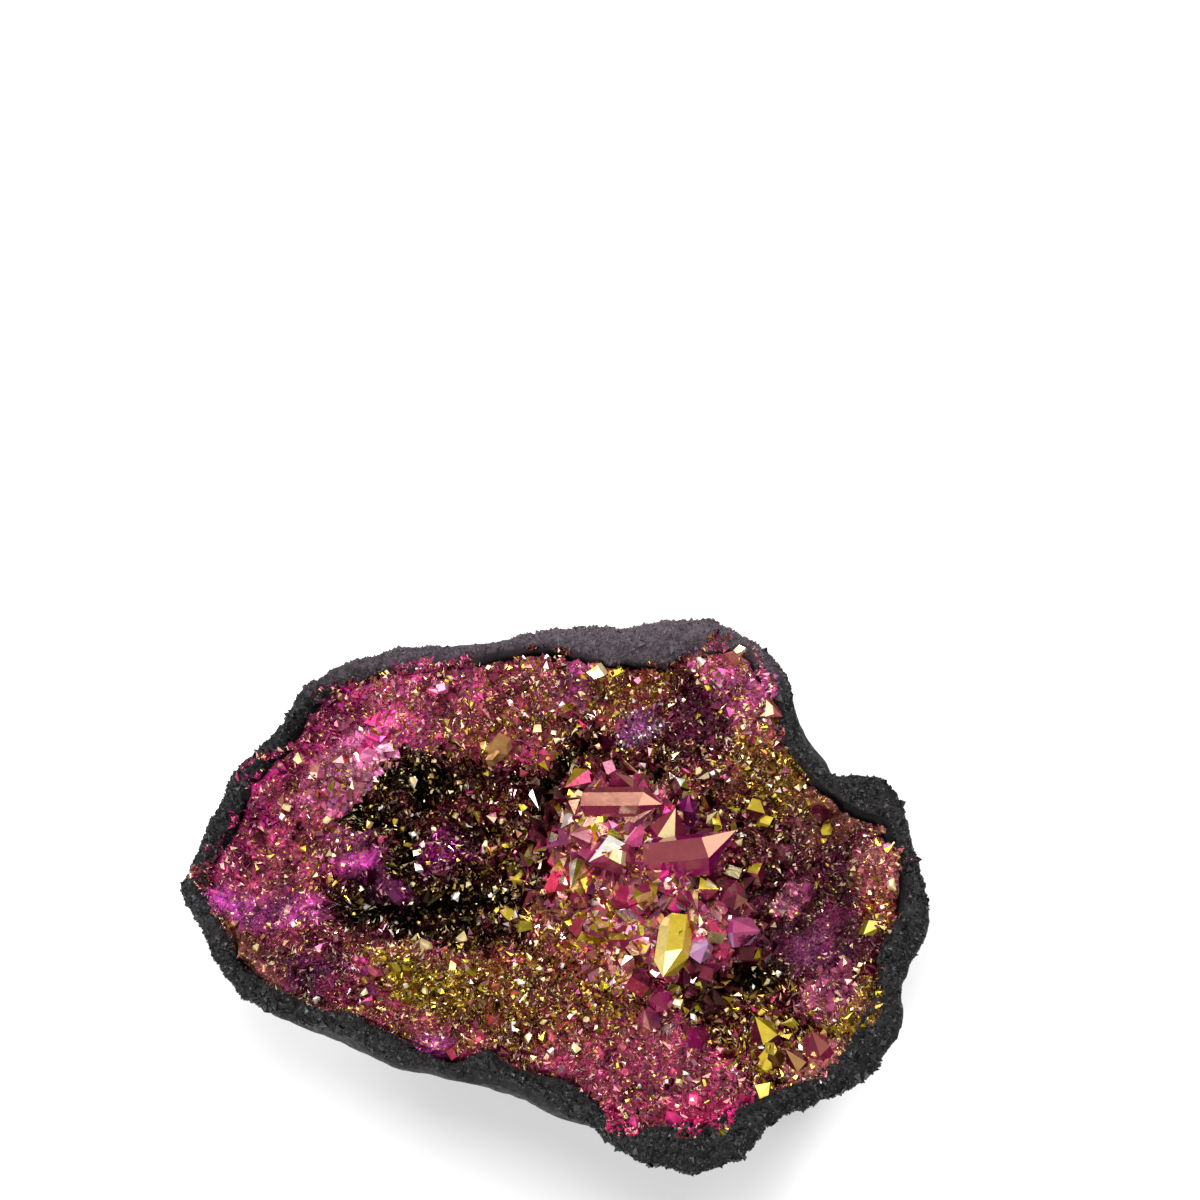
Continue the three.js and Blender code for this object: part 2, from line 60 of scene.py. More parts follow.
# Noise: numbers that scramble a cell's place, the largest result, and the shift from seed to seed
CELL_PRIMES = (73856093, 19349663, 83492791)
SEED_PRIME = 40503
MIXER = 1274126177
MIXER_SHIFT = 13
LARGEST = 0x7FFFFFFF
SEED_SHIFT = 17.3

# Layers of noise: height and size of the lumps, in millimetres where they are shapes, and a seed
STONE_LUMPS = [(0.55, 7, 1), (0.3, 3.2, 2)]
STONE_GRIT = [(0.34, 1.5, 5), (0.26, 0.8, 6)]
STONE_SKIN = [(0.10, 1.1, 7)]
LINING_KNOBS = [(0.5, 4, 11), (0.35, 2, 12)]
CRYSTAL_CLUMPS = [(0.7, 2.6, 51), (0.75, 1.1, 52)]
COAT_PATCHES = [(0.8, 3, 8)]
EDGE_WAVES = [(1, 3, 21), (0.5, 1.2, 22)]

# Ragged outlines seen from above: reach and size of the lumps in millimetres, and a seed for x and for y
CAVE_DRIFTS = [(1.1, 2.4, (41, 42))]
ZONE_DRIFTS = [(1.4, 5, (3, 4)), (0.9, 1.6, (33, 34))]

# Edges of the ovals: the higher the sharper
ZONE_EDGE = 2.4
CAVE_EDGE = 2.0
SHELF_EDGE = 1.6
PIT_EDGE = 1.5
RIDGE_EDGE = 1.3

# Stone: its mesh, how far its skin is drawn in, in millimetres, and the torn rim
SMOOTH_FACTOR = 0.5
STONE_VOXEL = 0.6 * MM
STONE_SMOOTHING = 5
STONE_SHRINK = 0.25
RIM_DEPTH = 4.2 * MM
RIM_BLUR = 1.8 * MM
RIM_CALM = 0.4
GROUND_FADE = 2 * MM

# Grains on the rim
GRAIN_COUNT = 14000
GRAIN_SIDES = 5
GRAIN_RIM = 0.6

# Rough floor of the lining, with heights in millimetres
LINING_VOXEL = 0.8 * MM
LINING_SMOOTHING = 6
LINING_SHRINK = 0.35
LINING_FADE = 2 * MM
FACING_GAIN = 3
FACING_LEVEL = 0.5
SNUG_HEIGHT = 0.9
SNUG_REACH = 1.3 * MM
LEDGE_HEIGHT = 1.2
LEDGE_SHARPNESS = 2.6
LEDGE_SIZE = 6
LEDGE_SEED = 31
CAVE_DEPTH = 1.2
SHELF_HEIGHT = 1.5

# The lining's back, and places that the stone hides from the hollow and from the sky over it
BACK_REACH = 1.6 * MM
BACKWARDS = 0.35
LEVEL_NORMAL = 0.5
HOLLOW_MIDDLE = (2 * MM, 3 * MM)
SKY = 60 * MM
LOOK_OUT = 0.3 * MM
OVERHEAD = 100 * MM
NEAR = 0.05 * MM

# Painted light and shade: knobs painted lighter as if lit, gaps and the floor of the ridge painted darker
LEVEL_LIGHT = 0.75
RELIEF_LIGHT = 0.5
LIGHT_RANGE = (0.12, 1.6)
CLUMP_SHADE = 0.1
CAVE_SHADE = 0.93
RIDGE_SHADE = 0.25

# How crystals and their facets vary, and the metal coats: how many facets have one, and how much metal it has
CRYSTAL_VARIETY = 0.35
HUE_RANGE = (0.8, 1.2)
FACET_VARIETY = 0.35
COATED = 0.75
COAT_RANGE = (0.3, 1.7)
COAT_SHADES = (0.6, 1.1)
COAT_METAL = (0.5, 0.95)
DULL_METAL = 0.95
BARE_METAL = (0.0, 0.12)
CAVE_BARE = 0.8
LINING_GOLDEN = 0.5
LINING_PINK = 0.15

# Forms of crystals: sides, how uneven they are, height of the shoulders, and slant of the tips
PRISM_SIDES = 6
PLATE_SIDES = 4
GLITTER_SIDES = 3
RAGGED_LEVEL = 0.12
RAGGED_PRISM = 0.25
RAGGED_PLATE = 0.38
RADIUS_RANGE = (0.97, 1.03)
SHOULDER_RANGE = (0.85, 1.12)
LEVEL_TOWARDS = (0.0, -0.15, 1.0)
FLAT_SLANT = 0.2

# How crystals stand: width in millimetres and how it varies, length for the width, share of it that is sunk,
# lean from the surface's normal, slant of the tip, and share of the length that is prism
Habit = namedtuple("Habit", "width variety stout sunk lean slant prism")
GRAINS = Habit(0.4, 0.45, (0.4, 0.8), 0.2, 0.5, 0.12, None)
TIPS = Habit(1, 0.3, (0.7, 1.3), 0.3, 0.45, 0.12, None)
RIDGE_POINTS = Habit(1.75, 0.4, (0.9, 1.4), 0.4, 0.9, 0.4, (0.65, 0.95))
MEDIUM_POINTS = Habit(0.95, 0.3, (1.0, 1.7), 0.4, 0.5, 0.24, (0.5, 0.8))
LIP_POINTS = Habit(1.2, 0.25, (1.2, 2.0), 0.4, 0.5, 0.24, (0.5, 0.8))

# Large crystals: those under the lying lift are raised out of the lining, and their steep facets have no coat
# The coat colours on facets that face up, white and cream most of all, are partly painted highlight
LARGE_SWELL = 1.02
LARGE_ROOTED = 0.3
LARGE_TIP = 0.75
LONGEST_TIP = 0.5
LARGE_VARIETY = 0.25
LARGE_SHADES = (0.9, 1.1)
LARGE_METAL = 0.2
DYED_METAL = 0.05
LARGE_CLEARANCE = 0.62
LYING_LIFT = 30
LYING_AT = 0.3
LYING_RISE = 0.15
STEEP = 0.55

# Crowd of stout crystals on the ridge: middle, half lengths and turn in degrees
RIDGE = ((12, 5), (20, 11), -50)
RIDGE_COUNT = 1400
RIDGE_TRIES = 30
RIDGE_FOCUS = 2.5
RIDGE_WIDEST = 3.6 * MM

# Medium crystals: tries for each, share that stand away from the ridge, and how much wider they are on it
MEDIUM_COUNT = 5000
MEDIUM_TRIES = 3
MEDIUM_AWAY = 0.15
MEDIUM_GAIN = 0.6 / 0.95

# Lip over the deep pit: its line in millimetres, and the side that its colours come from
LIP_COUNT = 220
LIP_TRIES = 60000
LIP_FROM = (-32, 15)
LIP_TO = (-24.5, 24.5)
LIP_HALF = 1.8 * MM
LIP_LOWEST = 25 * MM
LIP_OUTWARDS = (1.1, -0.6, 0.3)
LIP_COLOUR_SIDE = (-2.5, 2, 0)

# Fine crystals and glitter: count of tries, share that stand or more of them, and size
FINE_COUNT = 90000
FINE_SHARE = 0.72
GLITTER_COUNT = 50000
GLITTER_EXTRA = 0.15
GLITTER_SIZE = 0.7

# Crystals that spill over the inner edge of the stone, in millimetres
EDGE_COUNT = 12000
EDGE_SIZE = 0.9
EDGE_BAND = 6
EDGE_REACH = 1.2
SPILL_REACH = 1.5
SPILL_EDGE = 4
WAVE_REACH = 0.8
EDGE_UPWARDS = (0, 0, 0.6)

# Bunches of clear crystals: sizes for the half width of the bunch
POINTS_PER_GROUP = 26
GROUP_SUNK = 1.8 * MM
GROUP_SPREAD = 0.5
GROUP_FAN = 0.9
GROUP_LEAN = 0.2
GROUP_WIDTH = 0.62
GROUP_WIDTHS = (0.6, 1.2)
GROUP_LENGTHS = (1.2, 2.0)
GROUP_PRISM = (0.5, 0.75)
GROUP_VARIETY = 0.25
GROUP_METAL = 0.04

# Plates
PLATE_LENGTH = 1.1
PLATE_SUNK = 0.2
PLATE_TOWARDS = (0, -0.35, 1.0)
PLATE_SPREAD = 0.28
PLATE_SHADES = (0.75, 1.05)
PLATE_PRISM = (0.88, 0.95)
PLATE_METAL = 0.3

# Sparks: flat facets painted white and yellow as painted glints, most of them in the gaps
SPARK_COUNT = 1700
SPARK_LEAST = 0.25
SPARK_LEVEL = 0.35
SPARK_RELIEF = 0.4
SPARK_WIDTH = 0.62
SPARK_VARIETY = 0.35
SPARK_TOWARDS = (0, -0.35, 1.2)
SPARK_SPREAD = 0.4
SPARK_RAISED = 0.1 * MM
SPARK_PRISM = (0.8, 0.95)
SPARK_METAL = 0.25

# Looks of the crystals: name, roughness, transmission, ripples to the metre, and shade of the clouds
FINE_LOOK = ("fine_crystals", (0.08, 0.28), 0.0, 2600, (0.72, 1.25))
LARGE_LOOK = ("large_crystals", (0.10, 0.18), 0.3, 520, (0.88, 1.1))
CLEAR_LOOK = ("clear_crystals", (0.05, 0.15), 0.6, 1400, (0.8, 1.2))
CLOUDS = (900, 3)
RIPPLE_DETAIL = 2
RIPPLE_BUMP = (0.03 * MM, 0.5)
CRYSTAL_IOR = 1.9
CRYSTAL_SHINE = (1.0, 0.86, 0.45, 1)

# Look of the lining: facets to the metre, with their shades, metal and roughness
LINING_FACETS = 2600
LINING_SHADES = (0.5, 1.5)
LINING_METAL = (0, 0.6)
LINING_ROUGHNESS = (0.15, 0.5)
LINING_BUMP = (0.35 * MM, 0.7)
LINING_COAT = (0.58, 0.40, 0.06, 1)
LINING_IOR = 1.6
LINING_SPECULAR = 0.35
LINING_SHINE = (1.0, 0.45, 0.55, 1)

# Looks of the stone: name, roughness and height of the grit. A noise has lumps to the metre, detail and
# roughness; a range has its two results and the values that they start and end at
STONE_LOOK = ("stone", (0.6, 0.95), 0.12 * MM)
GRAIN_LOOK = ("rim_grains", (0.25, 0.6), 0.05 * MM)
STONE_WISPS = (70, 6)
STONE_SPECKS = (1500, 2, 0.5)
STONE_SHADES = [(0.3, (0.0022, 0.0020, 0.0023, 1)), (0.75, (0.008, 0.0068, 0.008, 1))]
SPECK_COLOUR = (0.10, 0.092, 0.105, 1)
SPECK_RANGE = (0, 0.7, 0.66, 0.8)
# Painted sheen on the far rim: its colour, and where it fades in towards the back and up the rim
FAR_SHEEN_COLOUR = (0.090, 0.066, 0.082, 1)
SHEEN_FAR = (0, 0.75, 28 * MM, 40 * MM)
SHEEN_TOP = (0, 1, 29 * MM, 33.5 * MM)
GRIT_STRENGTH = 0.8
STONE_SPECULAR = 0.3
NOISE_RANGE = (0.3, 0.7)
NOISE_ROUGHNESS = 0.6

# Floor, camera and light: name, place, width and power of each lamp
FLOOR_SIZE = 6
FLOOR_COLOUR = (0.86, 0.86, 0.86, 1)
FLOOR_ROUGHNESS = 0.9
LENS = 108.8
SENSOR = 36
CAMERA_DISTANCE = 0.50
CAMERA_ELEVATION = 65
AIM = Vector((0.00614, 0, 0.038))
AIM_ABOVE_PART = 0.03835
WORLD_STRENGTH = 0.22
LIT_PLACE = Vector((0, 0, 0.03))
LAMPS = [
    ("top", (0.05, 0.15, 1.1), 0.7, 10),
    ("front_left", (-0.55, -0.65, 0.75), 0.6, 13),
    ("back_left", (-0.6, 0.5, 0.6), 0.4, 3.2),
    ("key", (0.3, 0.3, 0.6), 0.16, 2.2),
]

# Body colours of the crystals, as linear red, green and blue
PALE_LILAC = (0.55, 0.26, 0.52)
SOFT_LILAC = (0.60, 0.38, 0.62)
LILAC = (0.36, 0.045, 0.22)
ORCHID = (0.42, 0.045, 0.30)
SHELF_VIOLET = (0.26, 0.024, 0.17)
MAUVE = (0.22, 0.024, 0.13)
GREY_VIOLET = (0.15, 0.035, 0.13)
SMOKY_VIOLET = (0.11, 0.009, 0.068)
PURPLE = (0.12, 0.004, 0.080)
PLUM = (0.085, 0.003, 0.050)
PINK = (0.42, 0.070, 0.19)
BRIGHT_PINK = (0.42, 0.06, 0.22)
LIP_PINK = (0.60, 0.15, 0.34)
RED_PINK = (0.38, 0.008, 0.095)
ROSE = (0.20, 0.014, 0.055)
LIGHT_ROSE = (0.52, 0.052, 0.22)
RIDGE_ROSE = (0.42, 0.032, 0.12)
DEEP_ROSE = (0.22, 0.018, 0.05)
DUSTY = (0.31, 0.030, 0.100)
MAGENTA = (0.22, 0.002, 0.085)
BERRY = (0.34, 0.006, 0.13)
CORAL = (0.48, 0.12, 0.14)
SALMON = (0.42, 0.10, 0.13)
WINE = (0.060, 0.002, 0.014)
DARK_WINE = (0.042, 0.002, 0.014)
BLACK_WINE = (0.020, 0.001, 0.005)
HAZE = (0.050, 0.002, 0.020)
BURGUNDY = (0.11, 0.010, 0.014)
RUSSET = (0.17, 0.014, 0.024)
OXBLOOD = (0.16, 0.014, 0.02)
OLIVE = (0.070, 0.022, 0.003)
BROWN = (0.15, 0.045, 0.032)
DUSTY_TAN = (0.34, 0.085, 0.105)

# Colours of single facets
WHITE = (0.95, 0.90, 0.82)
CREAM = (0.88, 0.70, 0.36)
BRIGHT_YELLOW = (0.95, 0.78, 0.26)
YELLOW = (0.70, 0.52, 0.05)
TAN = (0.48, 0.25, 0.09)
OLIVE_GOLD = (0.26, 0.19, 0.012)
FLESH = (0.34, 0.085, 0.078)
DUSK = (0.26, 0.046, 0.066)
GOLD_COATS = [(0.45, 0.35, 0.012), YELLOW, (0.52, 0.33, 0.06), (0.20, 0.16, 0.008), (0.33, 0.20, 0.02)]
FLESH_COATS = [(0.42, 0.13, 0.12), (0.36, 0.08, 0.17), (0.48, 0.19, 0.14)]
PINK_COATS = FLESH_COATS + [(0.30, 0.045, 0.15), (0.52, 0.22, 0.30)]
PALE_COATS = [WHITE, CREAM, (0.92, 0.80, 0.78)]
# Painted glints: colours of the sparks, standing in for reflections of the lamps
PAINTED_GLINT_COLOURS = [WHITE, CREAM, YELLOW, CREAM, TAN]

# Colour zones seen from above, in millimetres: middle, half lengths, turn in degrees, body colour, shares of
# gold, pink and pale facets, how dull the rest is, size of small crystals, and share of them that stand out
ZONES = [Zone(*row) for row in [
    ((-40, 12), (10.5, 17), 0, DUSTY, 0.13, 0.14, 0.01, 0.1, 0.55, 0.55),
    ((-41, -1.8), (8, 2.6), 2, ORCHID, 0.02, 0.14, 0.0, 0.0, 0.55, 0.3),
    ((-42, 2.6), (6, 3), 0, DUSTY, 0.08, 0.14, 0.0, 0.0, 0.55, 0.4),
    ((-46.5, 5.5), (2.5, 4), 0, MAGENTA, 0.0, 0.05, 0.0, 0.3, 0.7, 0.5),
    ((-43, 11.5), (3, 2), 0, MAGENTA, 0.0, 0.12, 0.0, 0.3, 0.7, 0.5),
    ((-41, 17.5), (4.5, 2.2), 30, BERRY, 0.0, 0.05, 0.0, 0.1, 0.7, 0.4),
    ((-33, 26), (6, 3), 40, MAGENTA, 0.02, 0.08, 0.0, 0.1, 0.7, 0.5),
    ((-30, 21), (7.5, 2.6), 50, LIP_PINK, 0.04, 0.25, 0.02, 0.0, 0.6, 0.6),
    ((-43.5, -9), (7, 3.5), -28, BROWN, 0.04, 0.12, 0.0, 0.1, 0.5, 0.3),
    ((-36, -6), (6, 3), 0, ROSE, 0.10, 0.20, 0.01, 0.2, 0.6, 0.7),
    ((-34, -10), (6, 4), 0, PLUM, 0.0, 0.05, 0.0, 0.2, 0.6, 0.3),
    ((-28, -12), (4, 3), 0, ROSE, 0.10, 0.20, 0.01, 0.2, 0.6, 0.7),
    ((-15, 11), (15, 11), 10, BLACK_WINE, 0.06, 0.03, 0.03, 0.6, 0.9, 1),
    ((-20, 0), (12, 6), 0, BLACK_WINE, 0.06, 0.03, 0.03, 0.6, 0.9, 1),
    ((-26.4, 5.8), (4.6, 1.9), 8, SHELF_VIOLET, 0.0, 0.06, 0.0, 0.0, 0.6, 0.12),
    ((-28.5, 9.6), (3.4, 2), 20, MAUVE, 0.05, 0.20, 0.02, 0.1, 0.6, 0.5),
    ((-17, 13), (5, 2.2), 10, PURPLE, 0.06, 0.30, 0.06, 0.4, 0.6, 1),
    ((-19, 17.4), (5, 1.6), 10, WINE, 0.12, 0.20, 0.04, 0.5, 0.6, 1),
    ((-11, 19.6), (3.6, 1.8), 10, WINE, 0.18, 0.16, 0.06, 0.5, 0.7, 1),
    ((-6, 13), (4, 4), 0, WINE, 0.24, 0.16, 0.03, 0.5, 1.1, 1),
    ((-21, -5), (8, 2.6), -8, ROSE, 0.16, 0.34, 0.04, 0.2, 0.6, 1),
    ((5, 24), (8, 2.6), -8, WINE, 0.22, 0.24, 0.04, 0.4, 0.8, 1),
    ((-5, 26), (5, 2.4), 0, ROSE, 0.16, 0.34, 0.03, 0.1, 0.7, 1),
    ((-16, -10), (11, 5), -14, OLIVE, 0.55, 0.06, 0.02, 0.2, 0.55, 1),
    ((-1, -13), (12, 7), -20, BURGUNDY, 0.32, 0.16, 0.02, 0.2, 0.6, 1),
    ((-20, -18), (9, 3), -18, ROSE, 0.22, 0.22, 0.01, 0.1, 0.5, 0.7),
    ((-18, -21.5), (3.4, 1.5), -10, LILAC, 0.02, 0.1, 0.0, 0.0, 0.5, 0.4),
    ((12, -24), (13, 8), -20, DUSTY, 0.07, 0.22, 0.01, 0.1, 0.55, 0.6),
    ((21, -31.5), (6, 2.4), 8, RED_PINK, 0.0, 0.10, 0.0, 0.0, 0.7, 0.5),
    ((8.8, -33.6), (2.4, 1.4), -30, RED_PINK, 0.0, 0.10, 0.0, 0.0, 0.7, 0.6),
    ((13, 6), (13, 10), -52, RIDGE_ROSE, 0.17, 0.66, 0.12, 0.0, 1.0, 0.6),
    ((6, -2), (8, 6), -40, RUSSET, 0.36, 0.50, 0.06, 0.0, 1.0, 0.7),
    ((17, 3), (6, 5), 0, MAGENTA, 0.12, 0.36, 0.03, 0.0, 1.0, 0.6),
    ((25, -10), (7, 4), 20, BLACK_WINE, 0.22, 0.03, 0.04, 0.5, 0.8, 1),
    ((35, 6), (11, 8), 0, DARK_WINE, 0.035, 0.02, 0.02, 0.2, 0.6, 0.5),
    ((36, -4.6), (8, 5), 0, HAZE, 0.0, 0.01, 0.0, 0.1, 0.5, 0.12),
    ((36.4, -6), (3, 2.2), 0, SMOKY_VIOLET, 0.0, 0.02, 0.0, 0.0, 0.5, 0.1),
    ((31.4, 2.4), (2.2, 1.4), -20, PINK, 0.0, 0.30, 0.20, 0.0, 0.5, 1),
    ((34.2, 4.8), (1.8, 1), 0, PINK, 0.02, 0.30, 0.05, 0.0, 0.5, 1),
    ((46, 5), (4.2, 4.5), 0, SALMON, 0.12, 0.40, 0.05, 0.0, 0.6, 0.6),
    ((45, -1), (3, 3.4), 0, BURGUNDY, 0.24, 0.16, 0.02, 0.2, 0.7, 1),
    ((33, 20), (7, 6), -40, OLIVE, 0.45, 0.16, 0.01, 0.1, 0.5, 1),
    ((38, 14), (4, 4), -40, BROWN, 0.12, 0.16, 0.01, 0.1, 0.5, 0.5),
    ((25, 15), (8, 7), -30, WINE, 0.12, 0.14, 0.04, 0.3, 0.7, 1),
    ((28, 31.5), (4.5, 3.6), 0, BRIGHT_PINK, 0.08, 0.40, 0.05, 0.0, 0.9, 0.8),
    ((30, 26), (4, 3), -40, ROSE, 0.18, 0.36, 0.03, 0.0, 0.8, 1),
    ((20.5, 29), (5, 3), 0, HAZE, 0.03, 0.08, 0.02, 0.3, 0.6, 0.5),
    ((11.4, 28), (2.6, 1.8), 0, GREY_VIOLET, 0.02, 0.16, 0.16, 0.2, 0.6, 1),
    ((10, 32), (6, 3), 0, OXBLOOD, 0.38, 0.24, 0.04, 0.0, 0.6, 1),
    ((24, 35), (4, 2), 0, PINK, 0.24, 0.34, 0.05, 0.0, 0.7, 1),
    ((-3, 32.5), (8, 3), 0, DUSTY, 0.22, 0.34, 0.05, 0.0, 0.7, 1),
    ((2.5, 32.5), (2.4, 1.8), 0, LILAC, 0.05, 0.35, 0.04, 0.0, 0.7, 0.7),
    ((-20, 30), (9, 4), 12, LIGHT_ROSE, 0.20, 0.28, 0.06, 0.0, 0.65, 0.8),
    ((-10, 28), (8, 3), 0, DEEP_ROSE, 0.26, 0.26, 0.03, 0.0, 0.7, 1),
    ((38.4, -15.4), (4.6, 3), -30, PINK, 0.06, 0.24, 0.02, 0.0, 0.7, 0.6),
    ((34.4, -24.6), (4, 3.2), 0, CORAL, 0.20, 0.40, 0.05, 0.0, 0.6, 0.7),
    ((41.6, -18), (2.4, 4), -20, OLIVE, 0.50, 0.10, 0.0, 0.0, 0.6, 1),
    ((30, -18), (7, 8), 0, WINE, 0.26, 0.04, 0.02, 0.5, 1.0, 1),
]]

# Colour where there is no zone: its weight beside the zones, and the half lengths of a usual zone, multiplied
PLAIN_ZONE = Zone(None, None, None, WINE, 0.10, 0.12, 0.02, 0.3, 0.75, 1)
PLAIN_WEIGHT = 0.04
USUAL_AREA = 60

# The pits, where ledges and knobs stand out over dark gaps: middle, half lengths and turn in degrees
PITS = [((-14, 12), (18, 13), 0), ((-20, 0), (13, 7), 0), ((4, 24), (11, 5), 0), ((25, -8), (7, 5), 0)]

# Smooth purple shelves in the deep pit: middle, half lengths and turn in degrees
SHELVES = [
    ((-26.3, 6), (4.2, 1.7), 8),
    ((-28, 9.4), (2.6, 1.2), 20),
    ((-17.1, 13.3), (3.4, 1.3), 10),
]

# Gaps under ledges, seen from above, darkened with painted shade: middle, half lengths and turn in degrees
CAVES = [
    ((-21.5, 20.4), (9, 2.4), 25),
    ((-28.6, 15), (3, 3), 40),
    ((1, 23.8), (6, 1.5), 32),
    ((-18, 5), (11, 2), 12),
    ((-27.5, 0.8), (4, 2), 45),
    ((-22, 12.6), (1.6, 3), 0),
    ((14.2, 22.6), (1.6, 2), 0),
    ((28.3, -9), (4, 2.4), -10),
    ((-12, 1.5), (5, 1.6), 10),
]

# Large crystals, placed as in the solids, in millimetres: x and y at three tenths of the length, the length,
# width, heading and lift in degrees, body colour, and the coats with the share of facets that have one
LARGE_POINTS = [LargePoint(*row) for row in [
    (17, 7.2, 13.5, 5.8, -2, 22, MAGENTA, [DUSK], 0.9),
    (7.4, 15, 12, 3.8, -10, 24, ROSE, [DUSK], 0.9),
    (15.6, 10.8, 7.5, 5, 75, 62, MAGENTA, [CREAM, DUSK, ROSE], 0.6),
    (8.6, 7.6, 7.5, 5.2, 205, 60, ROSE, [CREAM, WHITE, TAN], 0.6),
    (9.8, 17.6, 7.5, 4, 120, 62, ROSE, FLESH_COATS, 0.8),
    (16.6, -4.4, 10.5, 4.4, 262, 22, YELLOW, [BRIGHT_YELLOW, BRIGHT_YELLOW, YELLOW], 1.0),
    (20.2, -5.6, 7, 3.6, 285, 60, PALE_LILAC, [SOFT_LILAC], 0.6),
    (25, -2.2, 8.5, 4.8, -28, 48, PALE_LILAC, [LILAC, PINK], 0.5),
    (20.8, 3.4, 6.5, 4, -20, 55, ROSE, [WHITE, YELLOW, WINE], 0.7),
    (13, 2.4, 7.5, 4, 250, 68, ROSE, [TAN, OLIVE_GOLD], 0.6),
    (18.8, 14.2, 8, 2.8, 95, 66, PURPLE, [LILAC, PURPLE], 0.6),
    (21.8, 12.6, 6, 3, 40, 60, WINE, [YELLOW, CREAM], 0.6),
    (4.6, 11, 6, 3.6, 190, 50, ROSE, FLESH_COATS, 0.7),
    (3.8, 3.4, 6, 3.4, 225, 62, ROSE, [TAN, OLIVE_GOLD], 0.6),
    (9, -3.2, 6, 3.6, 240, 66, ROSE, GOLD_COATS, 0.5),
    (15, -12.4, 6.5, 3.6, 265, 62, MAGENTA, [ROSE, YELLOW], 0.3),
    (-8.2, 25.4, 6.5, 3.4, 250, 40, TAN, [TAN], 0.9),
    (28.6, 14.6, 5.5, 3.2, 200, 60, WINE, [YELLOW, OLIVE_GOLD], 0.5),
    (37.6, 12.6, 4.5, 2.8, 240, 55, WINE, [YELLOW, OLIVE_GOLD], 0.6),
    (29, -19.4, 6.5, 4.6, 130, 58, WINE, [OLIVE_GOLD, YELLOW, OLIVE], 0.7),
    (29.8, -24, 5.5, 3.8, 100, 62, WINE, [OLIVE_GOLD, YELLOW, OLIVE], 0.7),
    (19.6, -19, 5.5, 3, 80, 66, MAGENTA, [YELLOW, ROSE], 0.4),
    (36.2, -22.6, 5.5, 4, 140, 60, ROSE, [TAN, FLESH], 0.6),
    (33.4, -24.4, 5, 3.4, 120, 62, WINE, [TAN, CREAM], 0.5),
]]

# Flat-topped plates that catch the light, as in the photo: middle and width in millimetres, and colour
# White and cream plates are painted highlights; gold ones are coat colour, partly painted highlight
PLATES = [
    (14, 8.8, 1.9, WHITE),
    (9.2, 6.8, 2.2, CREAM),
    (7.6, 8.2, 1.8, WHITE),
    (22.5, 13, 1.8, YELLOW),
    (26, 10.4, 1.4, CREAM),
    (4.7, 13.8, 1.8, CREAM),
    (22, 3, 1.6, CREAM),
    (24.4, 1.8, 1.6, YELLOW),
    (12.5, 0.8, 3.2, TAN),
    (17.4, -3.9, 3.0, OLIVE_GOLD),
    (2.6, 4.6, 2.8, TAN),
    (0.4, 6.8, 2.4, TAN),
    (-8.7, 23.2, 2.4, TAN),
    (-5.2, 9, 2.0, YELLOW),
    (-6.7, 1.4, 2.0, YELLOW),
    (-4.7, -0.5, 2.4, OLIVE_GOLD),
    (-13.5, -1, 1.8, CREAM),
    (-18.8, -3.8, 1.8, CREAM),
    (-20.1, 10.3, 1.3, WHITE),
    (29.5, 13.3, 1.8, YELLOW),
    (38.4, 11.5, 1.8, YELLOW),
    (28.4, -24.6, 2.0, YELLOW),
    (28.6, -29, 2.4, YELLOW),
    (29.8, -22.8, 2.0, OLIVE_GOLD),
    (32.4, -17.8, 2.0, OLIVE_GOLD),
    (43.6, -4.3, 2.8, OLIVE_GOLD),
    (46.7, 1.2, 1.6, CREAM),
    (30.5, 27.6, 2.8, FLESH),
    (24.4, 35.4, 2.6, FLESH),
    (26, 35.6, 2.0, CREAM),
    (6, 33.8, 2.0, CREAM),
    (-36.4, 20.4, 1.4, CREAM),
    (-32.4, 12.4, 1.4, CREAM),
]

# Bunches of clear crystals, most of them in place of other large points of the solids: middle and half width
# in millimetres, and colour
CLEAR_GROUPS = [
    (-28.2, -13.4, 2.2, LILAC),
    (31, 3.8, 1.3, PALE_LILAC),
    (33.8, 5.6, 1.2, PINK),
    (26, 33, 2.6, PINK),
    (22.6, 33.6, 2.2, LILAC),
    (-2, 34.6, 2.2, PINK),
    (-6.4, 33.6, 2.2, ROSE),
    (-17, 31.8, 2.2, ROSE),
    (-34, 25.4, 2.6, MAGENTA),
    (-41, 14.6, 2.4, MAGENTA),
    (-45.4, 3.4, 2.4, MAGENTA),
    (38.4, -13, 2.4, PINK),
    (45, 5.2, 2.0, DUSTY_TAN),
    (7.4, -32.5, 1.5, RED_PINK),
    (21, -33, 2.2, RED_PINK),
]

# Where the crystals reach further over the rim: middle and half width in millimetres
SPILLS = [
    (-48, 3, 4),
    (-45.5, 9, 3),
    (-42, 17.5, 4.5),
    (-34, 27, 4),
    (25, 36.5, 4),
    (5.7, 35, 3),
    (48.5, 5, 4),
    (43, -17, 3),
    (20, -34, 4),
    (8.8, -35, 2),
    (-44, -11, 3),
]

rng = np.random.default_rng(SEED)


# Noise and arrays

def lattice_value(cell, seed):
    """A fixed value from -1 to 1 for each whole-number cell."""
    mixed = seed * SEED_PRIME
    for axis, prime in enumerate(CELL_PRIMES):
        mixed = mixed ^ cell[:, axis] * prime
    mixed = ((mixed ^ (mixed >> MIXER_SHIFT)) * MIXER) & LARGEST
    return mixed / (LARGEST // 2) - 1


def soft_noise(points, size, seed):
    """Smooth noise from -1 to 1 at each point, with lumps of a given size."""
    scaled = points / size + SEED_SHIFT * seed
    cell = np.floor(scaled).astype(np.int64)
    part = scaled - cell
    ease = part * part * (3 - 2 * part)
    total = np.zeros(len(points))
    for corner in np.ndindex(2, 2, 2):
        step = np.array(corner)
        share = np.prod(np.where(step == 1, ease, 1 - ease), axis=1)
        total += share * lattice_value(cell + step, seed)
    return total


def layered(places, layers):
    """Layers of noise on top of each other."""
    return sum(height * soft_noise(places, size * MM, seed) for height, size, seed in layers)


